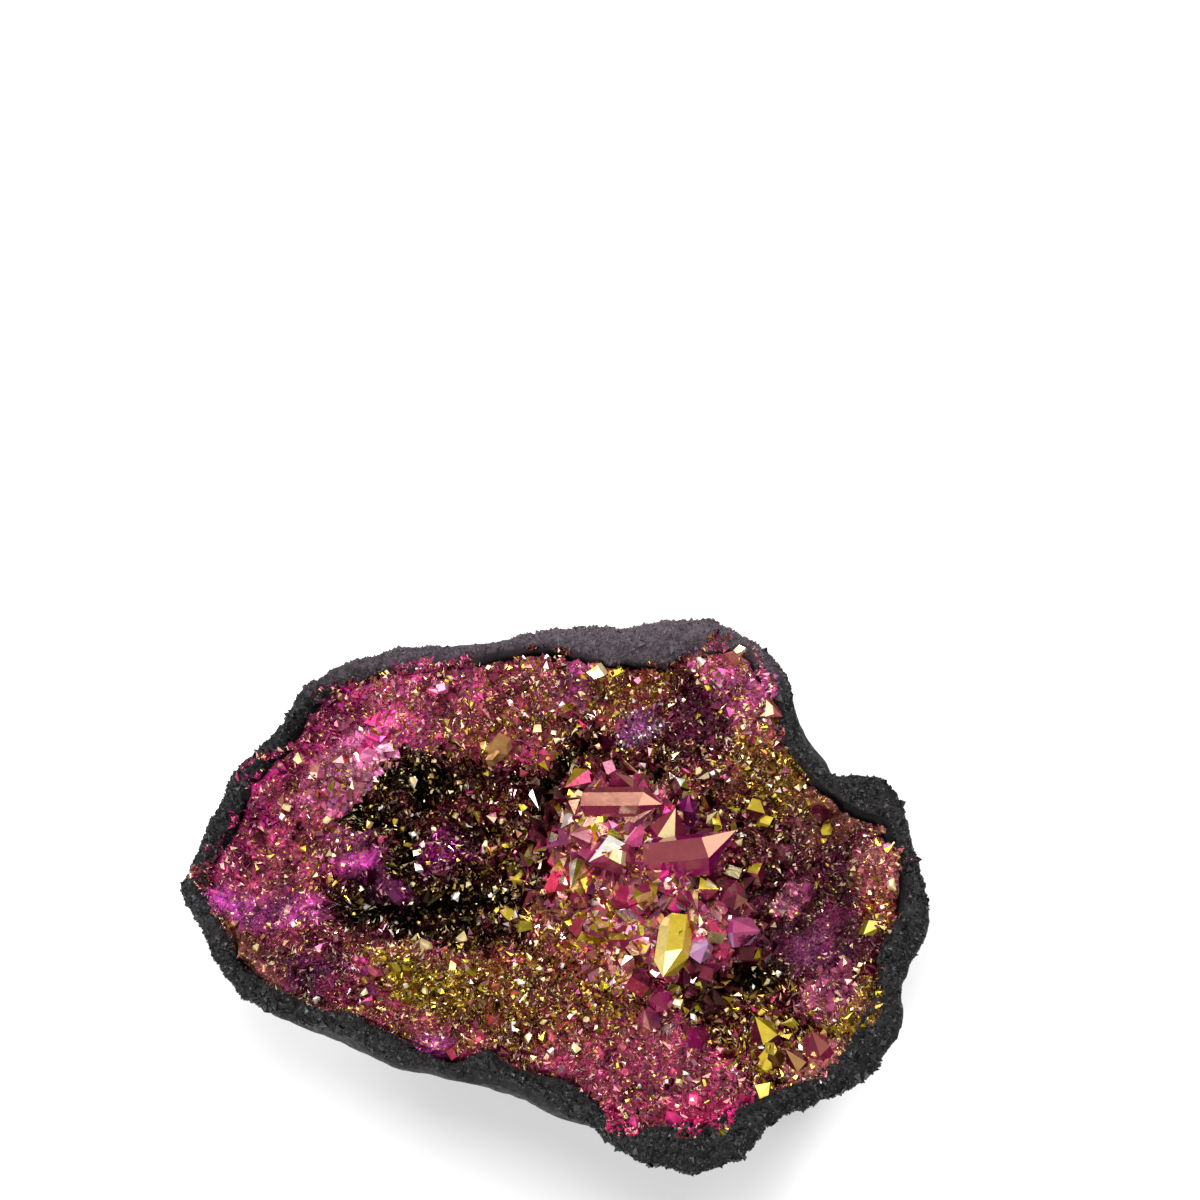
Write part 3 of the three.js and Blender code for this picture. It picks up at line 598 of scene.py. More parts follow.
def drifted(places, drifts):
    """Places in plan, in millimetres, pushed about by noise."""
    plan = places[:, :2] / MM
    for reach, size, seeds in drifts:
        plan = plan + reach * np.stack([soft_noise(places, size * MM, seed) for seed in seeds], axis=1)
    return plan


def oval_shares(plan, ovals, edge):
    """How far inside each turned oval each place in plan is: 1 in its middle, 0 outside."""
    rows = []
    for middle, half, degrees, *_ in ovals:
        turn = math.radians(degrees)
        away = plan - np.array(middle)
        along = (away[:, 0] * math.cos(turn) + away[:, 1] * math.sin(turn)) / half[0]
        across = (away[:, 1] * math.cos(turn) - away[:, 0] * math.sin(turn)) / half[1]
        rows.append(np.exp(-((along * along + across * across) ** edge)))
    return np.array(rows)


def unit(vectors):
    return vectors / np.maximum(np.linalg.norm(vectors, axis=1, keepdims=True), 1e-12)


def lean_from(normals, amount):
    return unit(normals + amount * rng.normal(size=normals.shape))


def varied_widths(habit, count):
    return habit.width * rng.lognormal(0, habit.variety, count) * MM


def standing(spots, normals, widths, habit):
    """Crystals that stand on given spots."""
    lengths = widths * rng.uniform(*habit.stout, len(spots))
    directions = lean_from(normals, habit.lean)
    return Crystals(spots - directions * (habit.sunk * lengths)[:, None], directions, widths, lengths)


# Meshes and objects

def mesh_surface(mesh):
    """Vertex places and normals, and the triangles as vertex numbers."""
    mesh.calc_loop_triangles()
    places = np.zeros(len(mesh.vertices) * 3)
    normals = np.zeros(len(mesh.vertices) * 3)
    corners = np.zeros(len(mesh.loop_triangles) * 3, dtype=np.int32)
    mesh.vertices.foreach_get("co", places)
    mesh.vertices.foreach_get("normal", normals)
    mesh.loop_triangles.foreach_get("vertices", corners)
    return Surface(places.reshape(-1, 3), normals.reshape(-1, 3), corners.reshape(-1, 3))


def tree_of(mesh):
    surface = mesh_surface(mesh)
    return BVHTree.FromPolygons([Vector(place) for place in surface.places], surface.corners.tolist())


def below(tree, x, y):
    """Where a line straight down, at a place in millimetres, meets a surface."""
    return tree.ray_cast(Vector((x * MM, y * MM, OVERHEAD)), Vector((0, 0, -1)))[0]


def add_object(name, mesh):
    piece = bpy.data.objects.new(name, mesh)
    bpy.context.scene.collection.objects.link(piece)
    return piece


def add_piece(name, mesh, material):
    mesh.materials.append(material)
    return add_object(name, mesh)


def triangle_mesh(name, places, corners):
    """A mesh from arrays, flat-shaded."""
    mesh = bpy.data.meshes.new(name)
    mesh.vertices.add(len(places))
    mesh.vertices.foreach_set("co", places.ravel())
    mesh.loops.add(len(corners) * 3)
    mesh.loops.foreach_set("vertex_index", corners.ravel().astype(np.int32))
    mesh.polygons.add(len(corners))
    mesh.polygons.foreach_set("loop_start", np.arange(0, len(corners) * 3, 3, dtype=np.int32))
    mesh.update(calc_edges=True)
    mesh.shade_flat()
    return mesh


def paint(mesh, domain, tint, gold):
    """Stores a colour and a share of metal for each face or each vertex."""
    for name, kind in (("tint", "FLOAT_COLOR"), ("gold", "FLOAT")):
        if name not in mesh.attributes:
            mesh.attributes.new(name, kind, domain)
    with_alpha = np.concatenate([tint, np.ones((len(tint), 1))], axis=1)
    mesh.attributes["tint"].data.foreach_set("color", with_alpha.ravel())
    mesh.attributes["gold"].data.foreach_set("value", gold)


def remeshed_copy(node, name, voxel, smoothing):
    """A voxel-remeshed, smoothed copy of a CAD node's mesh."""
    piece = add_object(name, node.data.copy())
    piece.data.materials.clear()
    remesh = piece.modifiers.new("remesh", "REMESH")
    remesh.mode = "VOXEL"
    remesh.voxel_size = voxel
    smooth = piece.modifiers.new("smooth", "SMOOTH")
    smooth.factor = SMOOTH_FACTOR
    smooth.iterations = smoothing
    evaluated = piece.evaluated_get(bpy.context.evaluated_depsgraph_get())
    mesh = bpy.data.meshes.new_from_object(evaluated)
    piece.modifiers.clear()
    piece.data = mesh
    return piece


def move_vertices(mesh, places):
    mesh.vertices.foreach_set("co", places.ravel())
    mesh.update()


# Relief and colour, by place

def cave_share(places):
    """1 in the gaps under ledges, which get painted shade, 0 elsewhere, with a ragged edge."""
    return oval_shares(drifted(places, CAVE_DRIFTS), CAVES, CAVE_EDGE).max(axis=0)


def ridge_share(places):
    """1 on the ridge of large crystals, fading away from it."""
    return oval_shares(places[:, :2] / MM, [RIDGE], RIDGE_EDGE)[0]


def rim_share(places):
    """1 on the broken rim face, fading to 0 on the rounded outside."""
    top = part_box("rind")[1].z
    return np.clip((places[:, 2] - (top - RIM_DEPTH)) / RIM_BLUR, 0, 1)


def relief(places):
    """Lumps of the lining, in millimetres: knobs everywhere, ledges in the pits, shelves and sunk gaps."""
    plan = places[:, :2] / MM
    depth = oval_shares(plan, PITS, PIT_EDGE).max(axis=0)
    shelves = oval_shares(plan, SHELVES, SHELF_EDGE).max(axis=0)
    ledges = 1 - LEDGE_SHARPNESS * np.abs(soft_noise(places, LEDGE_SIZE * MM, LEDGE_SEED))
    raised = layered(places, LINING_KNOBS) + depth * LEDGE_HEIGHT * ledges
    return raised - CAVE_DEPTH * cave_share(places) + SHELF_HEIGHT * shelves


def painted_light_and_tone(places):
    """How light the crystals are painted: painted light on the knobs, painted shade in the gaps."""
    clumps = layered(places, CRYSTAL_CLUMPS) - CLUMP_SHADE
    raised = np.clip(LEVEL_LIGHT + RELIEF_LIGHT * relief(places), *LIGHT_RANGE)
    return raised * np.exp(clumps) * (1 - CAVE_SHADE * cave_share(places))


def zone_weights(places):
    """How strongly each zone colours each place, one row for each zone. Small zones are the stronger."""
    rows = oval_shares(drifted(places, ZONE_DRIFTS), ZONES, ZONE_EDGE)
    areas = np.array([zone.half[0] * zone.half[1] for zone in ZONES])
    rows = rows * np.sqrt(USUAL_AREA / areas)[:, None]
    weights = np.vstack([rows, np.full(len(places), PLAIN_WEIGHT)])
    return weights / weights.sum(axis=0)


def zone_values(places):
    """Body colour, shares of the coats, dullness, crystal size and share of crystals at each place."""
    weights = zone_weights(places).T
    zones = ZONES + [PLAIN_ZONE]
    return ZoneValues(
        tint=weights @ np.array([zone.tint for zone in zones]),
        coats=weights @ np.array([(zone.gold, zone.pink, zone.pale) for zone in zones]),
        dull=weights @ np.array([zone.dull for zone in zones]),
        grain=weights @ np.array([zone.grain for zone in zones]),
        cover=weights @ np.array([zone.cover for zone in zones]),
    )


def varied(kinds, shape, shades):
    """One of a few colours for every facet, lighter or darker."""
    return np.array(kinds)[rng.integers(0, len(kinds), shape)] * rng.uniform(*shades, (*shape, 1))


def facet_colours(places, facets):
    """A colour and a share of metal for every facet of every crystal, and each crystal's size."""
    here = zone_values(places)
    count = len(places)
    shape = (count, facets)
    # Painted light and shade: crystals on knobs are lighter, those in the gaps darker
    own = here.tint * painted_light_and_tone(places)[:, None] * rng.lognormal(0, CRYSTAL_VARIETY, (count, 1))
    own = own * rng.uniform(*HUE_RANGE, (count, 3))
    colour = own[:, None, :] * rng.lognormal(0, FACET_VARIETY, (*shape, 1))
    metal = np.where(rng.random(shape) < here.dull[:, None], DULL_METAL, rng.uniform(*BARE_METAL, shape))
    # Painted shade: fewer coated facets in the gaps under ledges
    patch = (1 - CAVE_BARE * cave_share(places)) * np.exp(layered(places, COAT_PATCHES))
    pick = rng.random(shape)
    low = np.zeros((count, 1))
    for share, kinds in zip(here.coats.T, (GOLD_COATS, PINK_COATS, PALE_COATS)):
        high = low + (COATED * share * patch * rng.uniform(*COAT_RANGE, count))[:, None]
        coated = (pick >= low) & (pick < high)
        colour = np.where(coated[..., None], varied(kinds, shape, COAT_SHADES), colour)
        metal = np.where(coated, rng.uniform(*COAT_METAL, shape), metal)
        low = high
    return np.clip(colour, 0, 1), metal, here.grain


# Crystal meshes

def crystal_rings(crystals, prisms, sides, slant, level=False):
    """Corner points of many crystals: a ring at the root, a ring below the tip, and the tip.
    Level crystals are turned about their length until one side faces up."""
    roots, directions, widths, lengths = crystals
    count = len(roots)
    towards = np.tile(LEVEL_TOWARDS, (count, 1)) if level else rng.normal(size=(count, 3))
    side = unit(np.cross(directions, towards))
    across = np.cross(directions, side)
    upright = RAGGED_PRISM if sides > PLATE_SIDES else RAGGED_PLATE
    ragged = RAGGED_LEVEL if level else upright
    least, most = RADIUS_RANGE
    angles = 2 * math.pi / sides * (np.arange(sides) + rng.uniform(-ragged, ragged, (count, sides)))
    radii = 0.5 * widths[:, None] * rng.uniform(least - ragged, most + ragged, (count, sides))
    ring = np.cos(angles)[..., None] * side[:, None, :] + np.sin(angles)[..., None] * across[:, None, :]
    low = roots[:, None, :] + ring * radii[..., None]
    tall = prisms[:, None] * lengths[:, None] * rng.uniform(*SHOULDER_RANGE, (count, sides))
    high = low + directions[:, None, :] * tall[..., None]
    lean = side * rng.normal(size=(count, 1)) + across * rng.normal(size=(count, 1))
    tips = roots + directions * lengths[:, None] + slant * widths[:, None] * lean
    return low, high, tips[:, None, :]


def repeated(pattern, step, count):
    """The triangles of one crystal for each of many, whose corners follow each other."""
    return (pattern[None] + step * np.arange(count)[:, None, None]).reshape(-1, 3)


def by_triangle(colour, metal, sides):
    """Facet values in the order of the triangles: a side of a prism has two, a facet of its tip one."""
    side = np.arange(sides)
    facet = np.concatenate([np.repeat(side, 2), side + sides])
    return colour[:, facet].reshape(-1, 3), metal[:, facet].ravel()


def prism_mesh(name, crystals, prisms, colour, metal, slant=FLAT_SLANT, sides=PRISM_SIDES, level=False):
    """Prisms under uneven tips."""
    rings = crystal_rings(crystals, prisms, sides, slant, level)
    places = np.concatenate(rings, axis=1).reshape(-1, 3)
    this = np.arange(sides)
    after = (this + 1) % sides
    lower = np.stack([this, after, after + sides], axis=1)
    upper = np.stack([this, after + sides, this + sides], axis=1)
    tip = np.stack([this + sides, after + sides, np.full(sides, 2 * sides)], axis=1)
    pattern = np.concatenate([np.stack([lower, upper], axis=1).reshape(-1, 3), tip])
    mesh = triangle_mesh(name, places, repeated(pattern, 2 * sides + 1, len(crystals.roots)))
    paint(mesh, "FACE", *by_triangle(colour, metal, sides))
    return mesh


def tip_mesh(name, sides, crystals, colour, metal):
    """Bare pyramids, one triangle for each side."""
    low, _, tips = crystal_rings(crystals, np.zeros(len(crystals.roots)), sides, TIPS.slant)
    places = np.concatenate([low, tips], axis=1).reshape(-1, 3)
    this = np.arange(sides)
    pattern = np.stack([this, (this + 1) % sides, np.full(sides, sides)], axis=1)
    mesh = triangle_mesh(name, places, repeated(pattern, sides + 1, len(crystals.roots)))
    paint(mesh, "FACE", colour.reshape(-1, 3), metal.ravel())
    return mesh


# Places for crystals

def scattered(surface, count):
    """Random places on a surface's triangles, spread by area, with the surface's normals."""
    first, second, third = (surface.places[surface.corners[:, k]] for k in range(3))
    face_normals = np.cross(second - first, third - first)
    areas = np.linalg.norm(face_normals, axis=1)
    chosen = rng.choice(len(areas), count, p=areas / areas.sum())
    far = np.sqrt(rng.random(count))[:, None]
    turn = rng.random(count)[:, None]
    spots = first[chosen] * (1 - far) + second[chosen] * (far * (1 - turn)) + third[chosen] * (far * turn)
    return spots, unit(face_normals[chosen])


def in_hollow(points, stone_tree):
    """True for points in front of the stone's wall: they see the hollow's middle or the sky over it."""
    inside = np.ones(len(points), dtype=bool)
    for k, point in enumerate(points):
        start = Vector(point)
        for target in (Vector((*HOLLOW_MIDDLE, point[2])), Vector((*HOLLOW_MIDDLE, SKY))):
            line = target - start
            inside[k] = stone_tree.ray_cast(start, line.normalized(), line.length)[0] is None
            if inside[k]:
                break
    return inside


def open_side(mesh, stone_tree):
    """The surface of the lining without its back, which faces the stone."""
    surface = mesh_surface(mesh)
    behind = np.zeros(len(surface.places), dtype=bool)
    for k, (place, normal) in enumerate(zip(surface.places, surface.normals)):
        near, _, _, distance = stone_tree.find_nearest(Vector(place))
        facing = (near - Vector(place)).normalized().dot(Vector(normal))
        behind[k] = distance < BACK_REACH and facing > BACKWARDS and normal[2] < LEVEL_NORMAL
    behind |= ~in_hollow(surface.places + LOOK_OUT * surface.normals, stone_tree)
    kept = ~behind[surface.corners].any(axis=1)
    return surface._replace(corners=surface.corners[kept])


def clear_of(spots, crystals):
    """True where a spot isn't inside a large crystal."""
    clear = np.ones(len(spots), dtype=bool)
    for root, direction, width, length in zip(*crystals):
        away = spots - root
        along = np.clip(away @ direction, 0, length)
        distance = np.linalg.norm(away - along[:, None] * direction, axis=1)
        clear &= distance > LARGE_CLEARANCE * width
    return clear


def height_over(solid, x, y):
    """Height of the crust's nearest corner in plan, in metres, at a place in millimetres."""
    away = np.hypot(solid[:, 0] - x * MM, solid[:, 1] - y * MM)
    return solid[away < away.min() + NEAR, 2].max()


# Materials

def new_material(name):
    material = bpy.data.materials.new(name)
    material.use_nodes = True
    return material, material.node_tree, material.node_tree.nodes["Principled BSDF"]


def feed(tree, node, sources):
    """Links each named input of a node, or gives it a plain value, and hands on the node's outputs."""
    for name, source in sources.items():
        if isinstance(source, bpy.types.NodeSocket):
            tree.links.new(source, node.inputs[name])
        else:
            node.inputs[name].default_value = source
    return node.outputs


def own_place(tree):
    """The place on the piece itself, for the textures."""
    return tree.nodes.new("ShaderNodeTexCoord").outputs["Object"]


def attribute(tree, name, output):
    node = tree.nodes.new("ShaderNodeAttribute")
    node.attribute_name = name
    return node.outputs[output]


def noise(tree, scale, detail, roughness=NOISE_ROUGHNESS):
    sources = {"Vector": own_place(tree), "Scale": scale, "Detail": detail, "Roughness": roughness}
    return feed(tree, tree.nodes.new("ShaderNodeTexNoise"), sources)["Fac"]


def remap(tree, source, low, high, start=NOISE_RANGE[0], end=NOISE_RANGE[1]):
    """Turns values from start to end into values from low to high."""
    sources = {"Value": source, "From Min": start, "From Max": end, "To Min": low, "To Max": high}
    return feed(tree, tree.nodes.new("ShaderNodeMapRange"), sources)["Result"]


def mixed(tree, first, second, factor, blend="MIX"):
    node = tree.nodes.new("ShaderNodeMix")
    node.data_type = "RGBA"
    node.blend_type = blend
    return feed(tree, node, {"A": first, "B": second, "Factor": factor})["Result"]


def calculated(tree, operation, first, second):
    node = tree.nodes.new("ShaderNodeMath")
    node.operation = operation
    return feed(tree, node, {0: first, 1: second})["Value"]


def bump(tree, source, distance, strength, invert=False):
    node = tree.nodes.new("ShaderNodeBump")
    node.invert = invert
    return feed(tree, node, {"Height": source, "Distance": distance, "Strength": strength})["Normal"]


def lining_material():
    """Druse too fine to model: facets a third of a millimetre across, some of them with the metal coat."""
    material, tree, shader = new_material("lining")
    cells = tree.nodes.new("ShaderNodeTexVoronoi")
    cells.distance = "CHEBYCHEV"
    feed(tree, cells, {"Vector": own_place(tree), "Scale": LINING_FACETS})
    chance = feed(tree, tree.nodes.new("ShaderNodeSeparateColor"), {"Color": cells.outputs["Color"]})
    shade = remap(tree, chance["Red"], *LINING_SHADES, 0, 1)
    dyed = mixed(tree, attribute(tree, "tint", "Color"), shade, 1, "MULTIPLY")
    coated = calculated(tree, "LESS_THAN", chance["Green"], attribute(tree, "gold", "Fac"))
    feed(tree, shader, {
        "Base Color": mixed(tree, dyed, LINING_COAT, coated),
        "Metallic": remap(tree, coated, *LINING_METAL, 0, 1),
        "Roughness": remap(tree, chance["Blue"], *LINING_ROUGHNESS, 0, 1),
        "Normal": bump(tree, cells.outputs["Distance"], *LINING_BUMP, invert=True),
    })
    shader.inputs["IOR"].default_value = LINING_IOR
    shader.inputs["Specular IOR Level"].default_value = LINING_SPECULAR
    shader.inputs["Specular Tint"].default_value = LINING_SHINE
    return material


def crystal_material(name, roughness, transmission, growth, clouds):
    """Dyed quartz under a thin metal coat: the dye shows through and facets flash gold."""
    material, tree, shader = new_material(name)
    cloudy = remap(tree, noise(tree, *CLOUDS), *clouds)
    ripples = noise(tree, growth, RIPPLE_DETAIL)
    feed(tree, shader, {
        "Base Color": mixed(tree, attribute(tree, "tint", "Color"), cloudy, 1, "MULTIPLY"),
        "Metallic": attribute(tree, "gold", "Fac"),
        "Roughness": remap(tree, ripples, *roughness),
        "Normal": bump(tree, ripples, *RIPPLE_BUMP),
    })
    shader.inputs["IOR"].default_value = CRYSTAL_IOR
    shader.inputs["Specular Tint"].default_value = CRYSTAL_SHINE
    shader.inputs["Transmission Weight"].default_value = transmission
    return material


def charcoal(tree):
    """Colour of the bare stone: near black, with paler wisps."""
    ramp = tree.nodes.new("ShaderNodeValToRGB")
    for stop, (position, colour) in zip(ramp.color_ramp.elements, STONE_SHADES):
        stop.position = position
        stop.color = colour
    return feed(tree, ramp, {"Fac": noise(tree, *STONE_WISPS)})["Color"]


def far_sheen_share(tree):
    """Where the painted violet-grey sheen is: high up on the far side."""
    place = feed(tree, tree.nodes.new("ShaderNodeSeparateXYZ"), {"Vector": own_place(tree)})
    far, top = remap(tree, place["Y"], *SHEEN_FAR), remap(tree, place["Z"], *SHEEN_TOP)
    return calculated(tree, "MULTIPLY", far, top)


def stone_material(name, roughness, grit_height):
    """Charcoal stone with pale specks, and a painted violet-grey sheen on the far rim."""
    material, tree, shader = new_material(name)
    specks = noise(tree, *STONE_SPECKS)
    specked = mixed(tree, charcoal(tree), SPECK_COLOUR, remap(tree, specks, *SPECK_RANGE))
    feed(tree, shader, {
        "Base Color": mixed(tree, specked, FAR_SHEEN_COLOUR, far_sheen_share(tree)),
        "Roughness": remap(tree, specks, *reversed(roughness)),
        "Normal": bump(tree, specks, grit_height, GRIT_STRENGTH),
    })
    shader.inputs["Specular IOR Level"].default_value = STONE_SPECULAR
    return material


def floor_material():
    material, _, shader = new_material("floor")
    shader.inputs["Base Color"].default_value = FLOOR_COLOUR
    shader.inputs["Roughness"].default_value = FLOOR_ROUGHNESS
    return material


# Stone

def make_stone(material):
    """The stone: soft and lumpy outside, torn and granular on the rim."""
    piece = remeshed_copy(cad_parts["rind"], "stone", STONE_VOXEL, STONE_SMOOTHING)
    places, normals, _ = mesh_surface(piece.data)
    rim = rim_share(places)
    lumps = layered(places, STONE_LUMPS) * (1 - RIM_CALM * rim)
    grit = layered(places, STONE_GRIT) * rim
    push = (lumps + grit + layered(places, STONE_SKIN) - STONE_SHRINK) * MM
    floor_fade = np.clip(places[:, 2] / GROUND_FADE, 0, 1)
    places = places + normals * (push * floor_fade)[:, None]
    places[:, 2] = np.maximum(places[:, 2], 0)
    move_vertices(piece.data, places)
    piece.data.shade_smooth()
    piece.data.materials.append(material)
    return piece


def make_grains(stone, material):
    """Loose-looking grains bonded to the torn rim."""
    surface = mesh_surface(stone.data)
    middles = surface.places[surface.corners].mean(axis=1)
    on_rim = surface.corners[rim_share(middles) > GRAIN_RIM]
    spots, normals = scattered(surface._replace(corners=on_rim), GRAIN_COUNT)
    widths = varied_widths(GRAINS, GRAIN_COUNT)
    directions = lean_from(normals, GRAINS.lean)
    lengths = widths * rng.uniform(*GRAINS.stout, GRAIN_COUNT)
    roots = spots - directions * (GRAINS.sunk * lengths)[:, None]
    plain = np.zeros((GRAIN_COUNT, GRAIN_SIDES, 3))
    grains = Crystals(roots, directions, widths, lengths)
    mesh = tip_mesh("rim_grains", GRAIN_SIDES, grains, plain, plain[..., 0])
    return add_piece("rim_grains", mesh, material)


# Crystals of the hollow

def make_lining(material, stone_tree):
    """The rough floor that the crystals stand on, grown tight against the stone."""
    piece = remeshed_copy(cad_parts["crystal_crust"], "lining", LINING_VOXEL, LINING_SMOOTHING)
    places, normals, _ = mesh_surface(piece.data)
    gaps = np.array([stone_tree.find_nearest(Vector(place))[3] for place in places])
    facing_up = np.clip(normals[:, 2] * FACING_GAIN + FACING_LEVEL, 0, 1)
    off_ground = np.clip((places[:, 2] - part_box("crystal_crust")[0].z) / LINING_FADE, 0, 1)
    lumps = (relief(places) - LINING_SHRINK) * (facing_up * off_ground)
    snug = SNUG_HEIGHT * np.exp(-((gaps / SNUG_REACH) ** 2))
    places = places + normals * ((lumps + snug) * MM)[:, None]
    move_vertices(piece.data, places)
    paint_lining(piece.data, places)
    piece.data.materials.append(material)
    return piece


def paint_lining(mesh, places):
    """Dye and coat between crystals; painted shade on the ridge's floor and in the almost bare gaps."""
    here = zone_values(places)
    coated = LINING_GOLDEN * here.coats[:, 0] + LINING_PINK * here.coats[:, 1]
    # Painted shade: the lining is darker on the floor of the ridge, between the large crystals
    light = painted_light_and_tone(places) * (1 - RIDGE_SHADE * ridge_share(places))
    paint(mesh, "POINT", here.tint * light[:, None], coated * (1 - CAVE_BARE * cave_share(places)))


def large_point_stand(point, solid, lining_tree):
    """Root and direction of a large crystal, its height taken from its tip in the solids.
    A crystal that lies down is lifted until it stands out of the lining."""
    turn, rise = math.radians(point.heading), math.radians(point.lift)
    direction = np.array([math.cos(rise) * math.cos(turn), math.cos(rise) * math.sin(turn), math.sin(rise)])
    place = np.array([point.x, point.y])
    shown = (1 - LARGE_ROOTED) * point.length
    height = height_over(solid, *(place + shown * direction[:2])) - shown * MM * direction[2]
    if point.lift < LYING_LIFT:
        ahead = LYING_AT * point.length
        floor = below(lining_tree, *(place + ahead * direction[:2])).z
        height = max(height, floor + (LYING_RISE * point.width - ahead * direction[2]) * MM)
    root = np.array([point.x * MM, point.y * MM, height]) - LARGE_ROOTED * point.length * MM * direction
    return root, direction


def keep_dye(mesh, colour, metal, dyes):
    """Facets that don't face up show the dye; the upward coats are partly painted highlight."""
    normals = np.zeros(len(mesh.polygons) * 3)
    mesh.polygons.foreach_get("normal", normals)
    steep = normals.reshape(-1, 3)[:, 2] < STEEP
    tint, gold = by_triangle(colour, metal, PRISM_SIDES)
    tint[steep] = np.repeat(dyes, 3 * PRISM_SIDES, axis=0)[steep]
    gold[steep] = DYED_METAL
    paint(mesh, "FACE", tint, gold)


def make_large_points(solid, lining_tree, material):
    """The large crystals as one piece, and their places and sizes."""
    stands = [large_point_stand(point, solid, lining_tree) for point in LARGE_POINTS]
    roots, directions = (np.array(part) for part in zip(*stands))
    widths = np.array([point.width for point in LARGE_POINTS]) * MM * LARGE_SWELL
    lengths = np.array([point.length for point in LARGE_POINTS]) * MM
    prisms = 1 - np.minimum(LARGE_TIP * widths / lengths, LONGEST_TIP)
    dyes = np.array([point.tint for point in LARGE_POINTS])
    shape = (len(roots), 2 * PRISM_SIDES)
    colour = dyes[:, None, :] * rng.lognormal(0, LARGE_VARIETY, (*shape, 1))
    coated = rng.random(shape) < np.array([point.share for point in LARGE_POINTS])[:, None]
    for k, point in enumerate(LARGE_POINTS):
        coat = varied(point.coats, shape[1:], LARGE_SHADES)
        colour[k] = np.where(coated[k][:, None], coat, colour[k])
    colour = np.clip(colour, 0, 1)
    metal = np.where(coated, LARGE_METAL, DYED_METAL)
    large = Crystals(roots, directions, widths, lengths)
    mesh = prism_mesh("large_crystals", large, prisms, colour, metal, level=True)
    keep_dye(mesh, colour, metal, dyes)
    return add_piece("large_crystals", mesh, material), large


def bunched_point(middle, half, tint):
    """Root, direction, width and colour of one crystal of a bunch, leaning away from the bunch's middle."""
    offset = np.append(rng.normal(size=2) * GROUP_SPREAD * half * MM, 0)
    direction = offset / (half * MM) * GROUP_FAN + np.array([0, 0, 1]) + GROUP_LEAN * rng.normal(size=3)
    width = GROUP_WIDTH * half * MM * rng.uniform(*GROUP_WIDTHS)
    return middle + offset, direction, width, np.array(tint) * rng.lognormal(0, GROUP_VARIETY)


def make_clear_groups(solid, stone_tree, material):
    """Bunches of clear crystals, without those that would stand in the stone."""
    points = []
    for x, y, half, tint in CLEAR_GROUPS:
        middle = np.array([x * MM, y * MM, height_over(solid, x, y) - GROUP_SUNK])
        points += [bunched_point(middle, half, tint) for _ in range(POINTS_PER_GROUP)]
    roots, directions, widths, tints = (np.array(part) for part in zip(*points))
    directions = unit(directions)
    lengths = widths * rng.uniform(*GROUP_LENGTHS, len(roots))
    kept = in_hollow(roots + directions * lengths[:, None], stone_tree) & in_hollow(roots, stone_tree)
    clear = Crystals(roots[kept], directions[kept], widths[kept], lengths[kept])
    shape = (kept.sum(), 2 * PRISM_SIDES)
    colour = np.clip(tints[kept][:, None, :] * rng.lognormal(0, GROUP_VARIETY, (*shape, 1)), 0, 1)
    prisms = rng.uniform(*GROUP_PRISM, shape[0])
    mesh = prism_mesh("clear_crystals", clear, prisms, colour, np.full(shape, GROUP_METAL))
    return add_piece("clear_crystals", mesh, material)


def make_plates(lining_tree, material):
    """Flat-topped four-sided crystals that face up and catch the light; pale ones are painted highlights."""
    hits = [below(lining_tree, x, y) for x, y, _, _ in PLATES]
    found = [(hit, width, tint) for hit, (_, _, width, tint) in zip(hits, PLATES) if hit is not None]
    spots, widths, tints = (np.array(part) for part in zip(*found))
    shape = (len(spots), 2 * PLATE_SIDES)
    widths = widths * MM
    lengths = widths * PLATE_LENGTH
    directions = unit(np.array(PLATE_TOWARDS) + PLATE_SPREAD * rng.normal(size=spots.shape))
    roots = spots - directions * (PLATE_SUNK * lengths)[:, None]
    colour = np.clip(tints[:, None, :] * rng.uniform(*PLATE_SHADES, (*shape, 1)), 0, 1)
    prisms = rng.uniform(*PLATE_PRISM, len(spots))
    plates = Crystals(roots, directions, widths, lengths)
    mesh = prism_mesh("plates", plates, prisms, colour, np.full(shape, PLATE_METAL), sides=PLATE_SIDES)
    return add_piece("plates", mesh, material)


def make_sparks(surface, material):
    """Small flat facets painted white and yellow: painted glints out of the dark."""
    spots, normals = scattered(surface, SPARK_COUNT)
    gaps = np.clip(SPARK_LEVEL - SPARK_RELIEF * relief(spots), 0, 1)
    dark = SPARK_LEAST + (1 - SPARK_LEAST) * gaps
    keep = rng.random(SPARK_COUNT) < dark * zone_values(spots).cover ** 2
    spots, normals = spots[keep], normals[keep]
    shape = (len(spots), 2 * PLATE_SIDES)
    widths = SPARK_WIDTH * rng.lognormal(0, SPARK_VARIETY, len(spots)) * MM
    directions = unit(normals + np.array(SPARK_TOWARDS) + SPARK_SPREAD * rng.normal(size=spots.shape))
    colour = np.array(PAINTED_GLINT_COLOURS)[rng.integers(0, len(PAINTED_GLINT_COLOURS), len(spots))]
    colour = np.repeat(colour[:, None, :], shape[1], axis=1)
    prisms = rng.uniform(*SPARK_PRISM, len(spots))
    sparks = Crystals(spots + directions * SPARK_RAISED, directions, widths, widths)
    mesh = prism_mesh("sparks", sparks, prisms, colour, np.full(shape, SPARK_METAL), sides=PLATE_SIDES)
    return add_piece("sparks", mesh, material)


def make_points(name, spots, normals, widths, habit, material):
    """One piece of six-sided points standing on given spots."""
    colour, metal, _ = facet_colours(spots, 2 * PRISM_SIDES)
    points = standing(spots, normals, widths, habit)
    prisms = rng.uniform(*habit.prism, len(spots))
    return add_piece(name, prism_mesh(name, points, prisms, colour, metal, habit.slant), material)


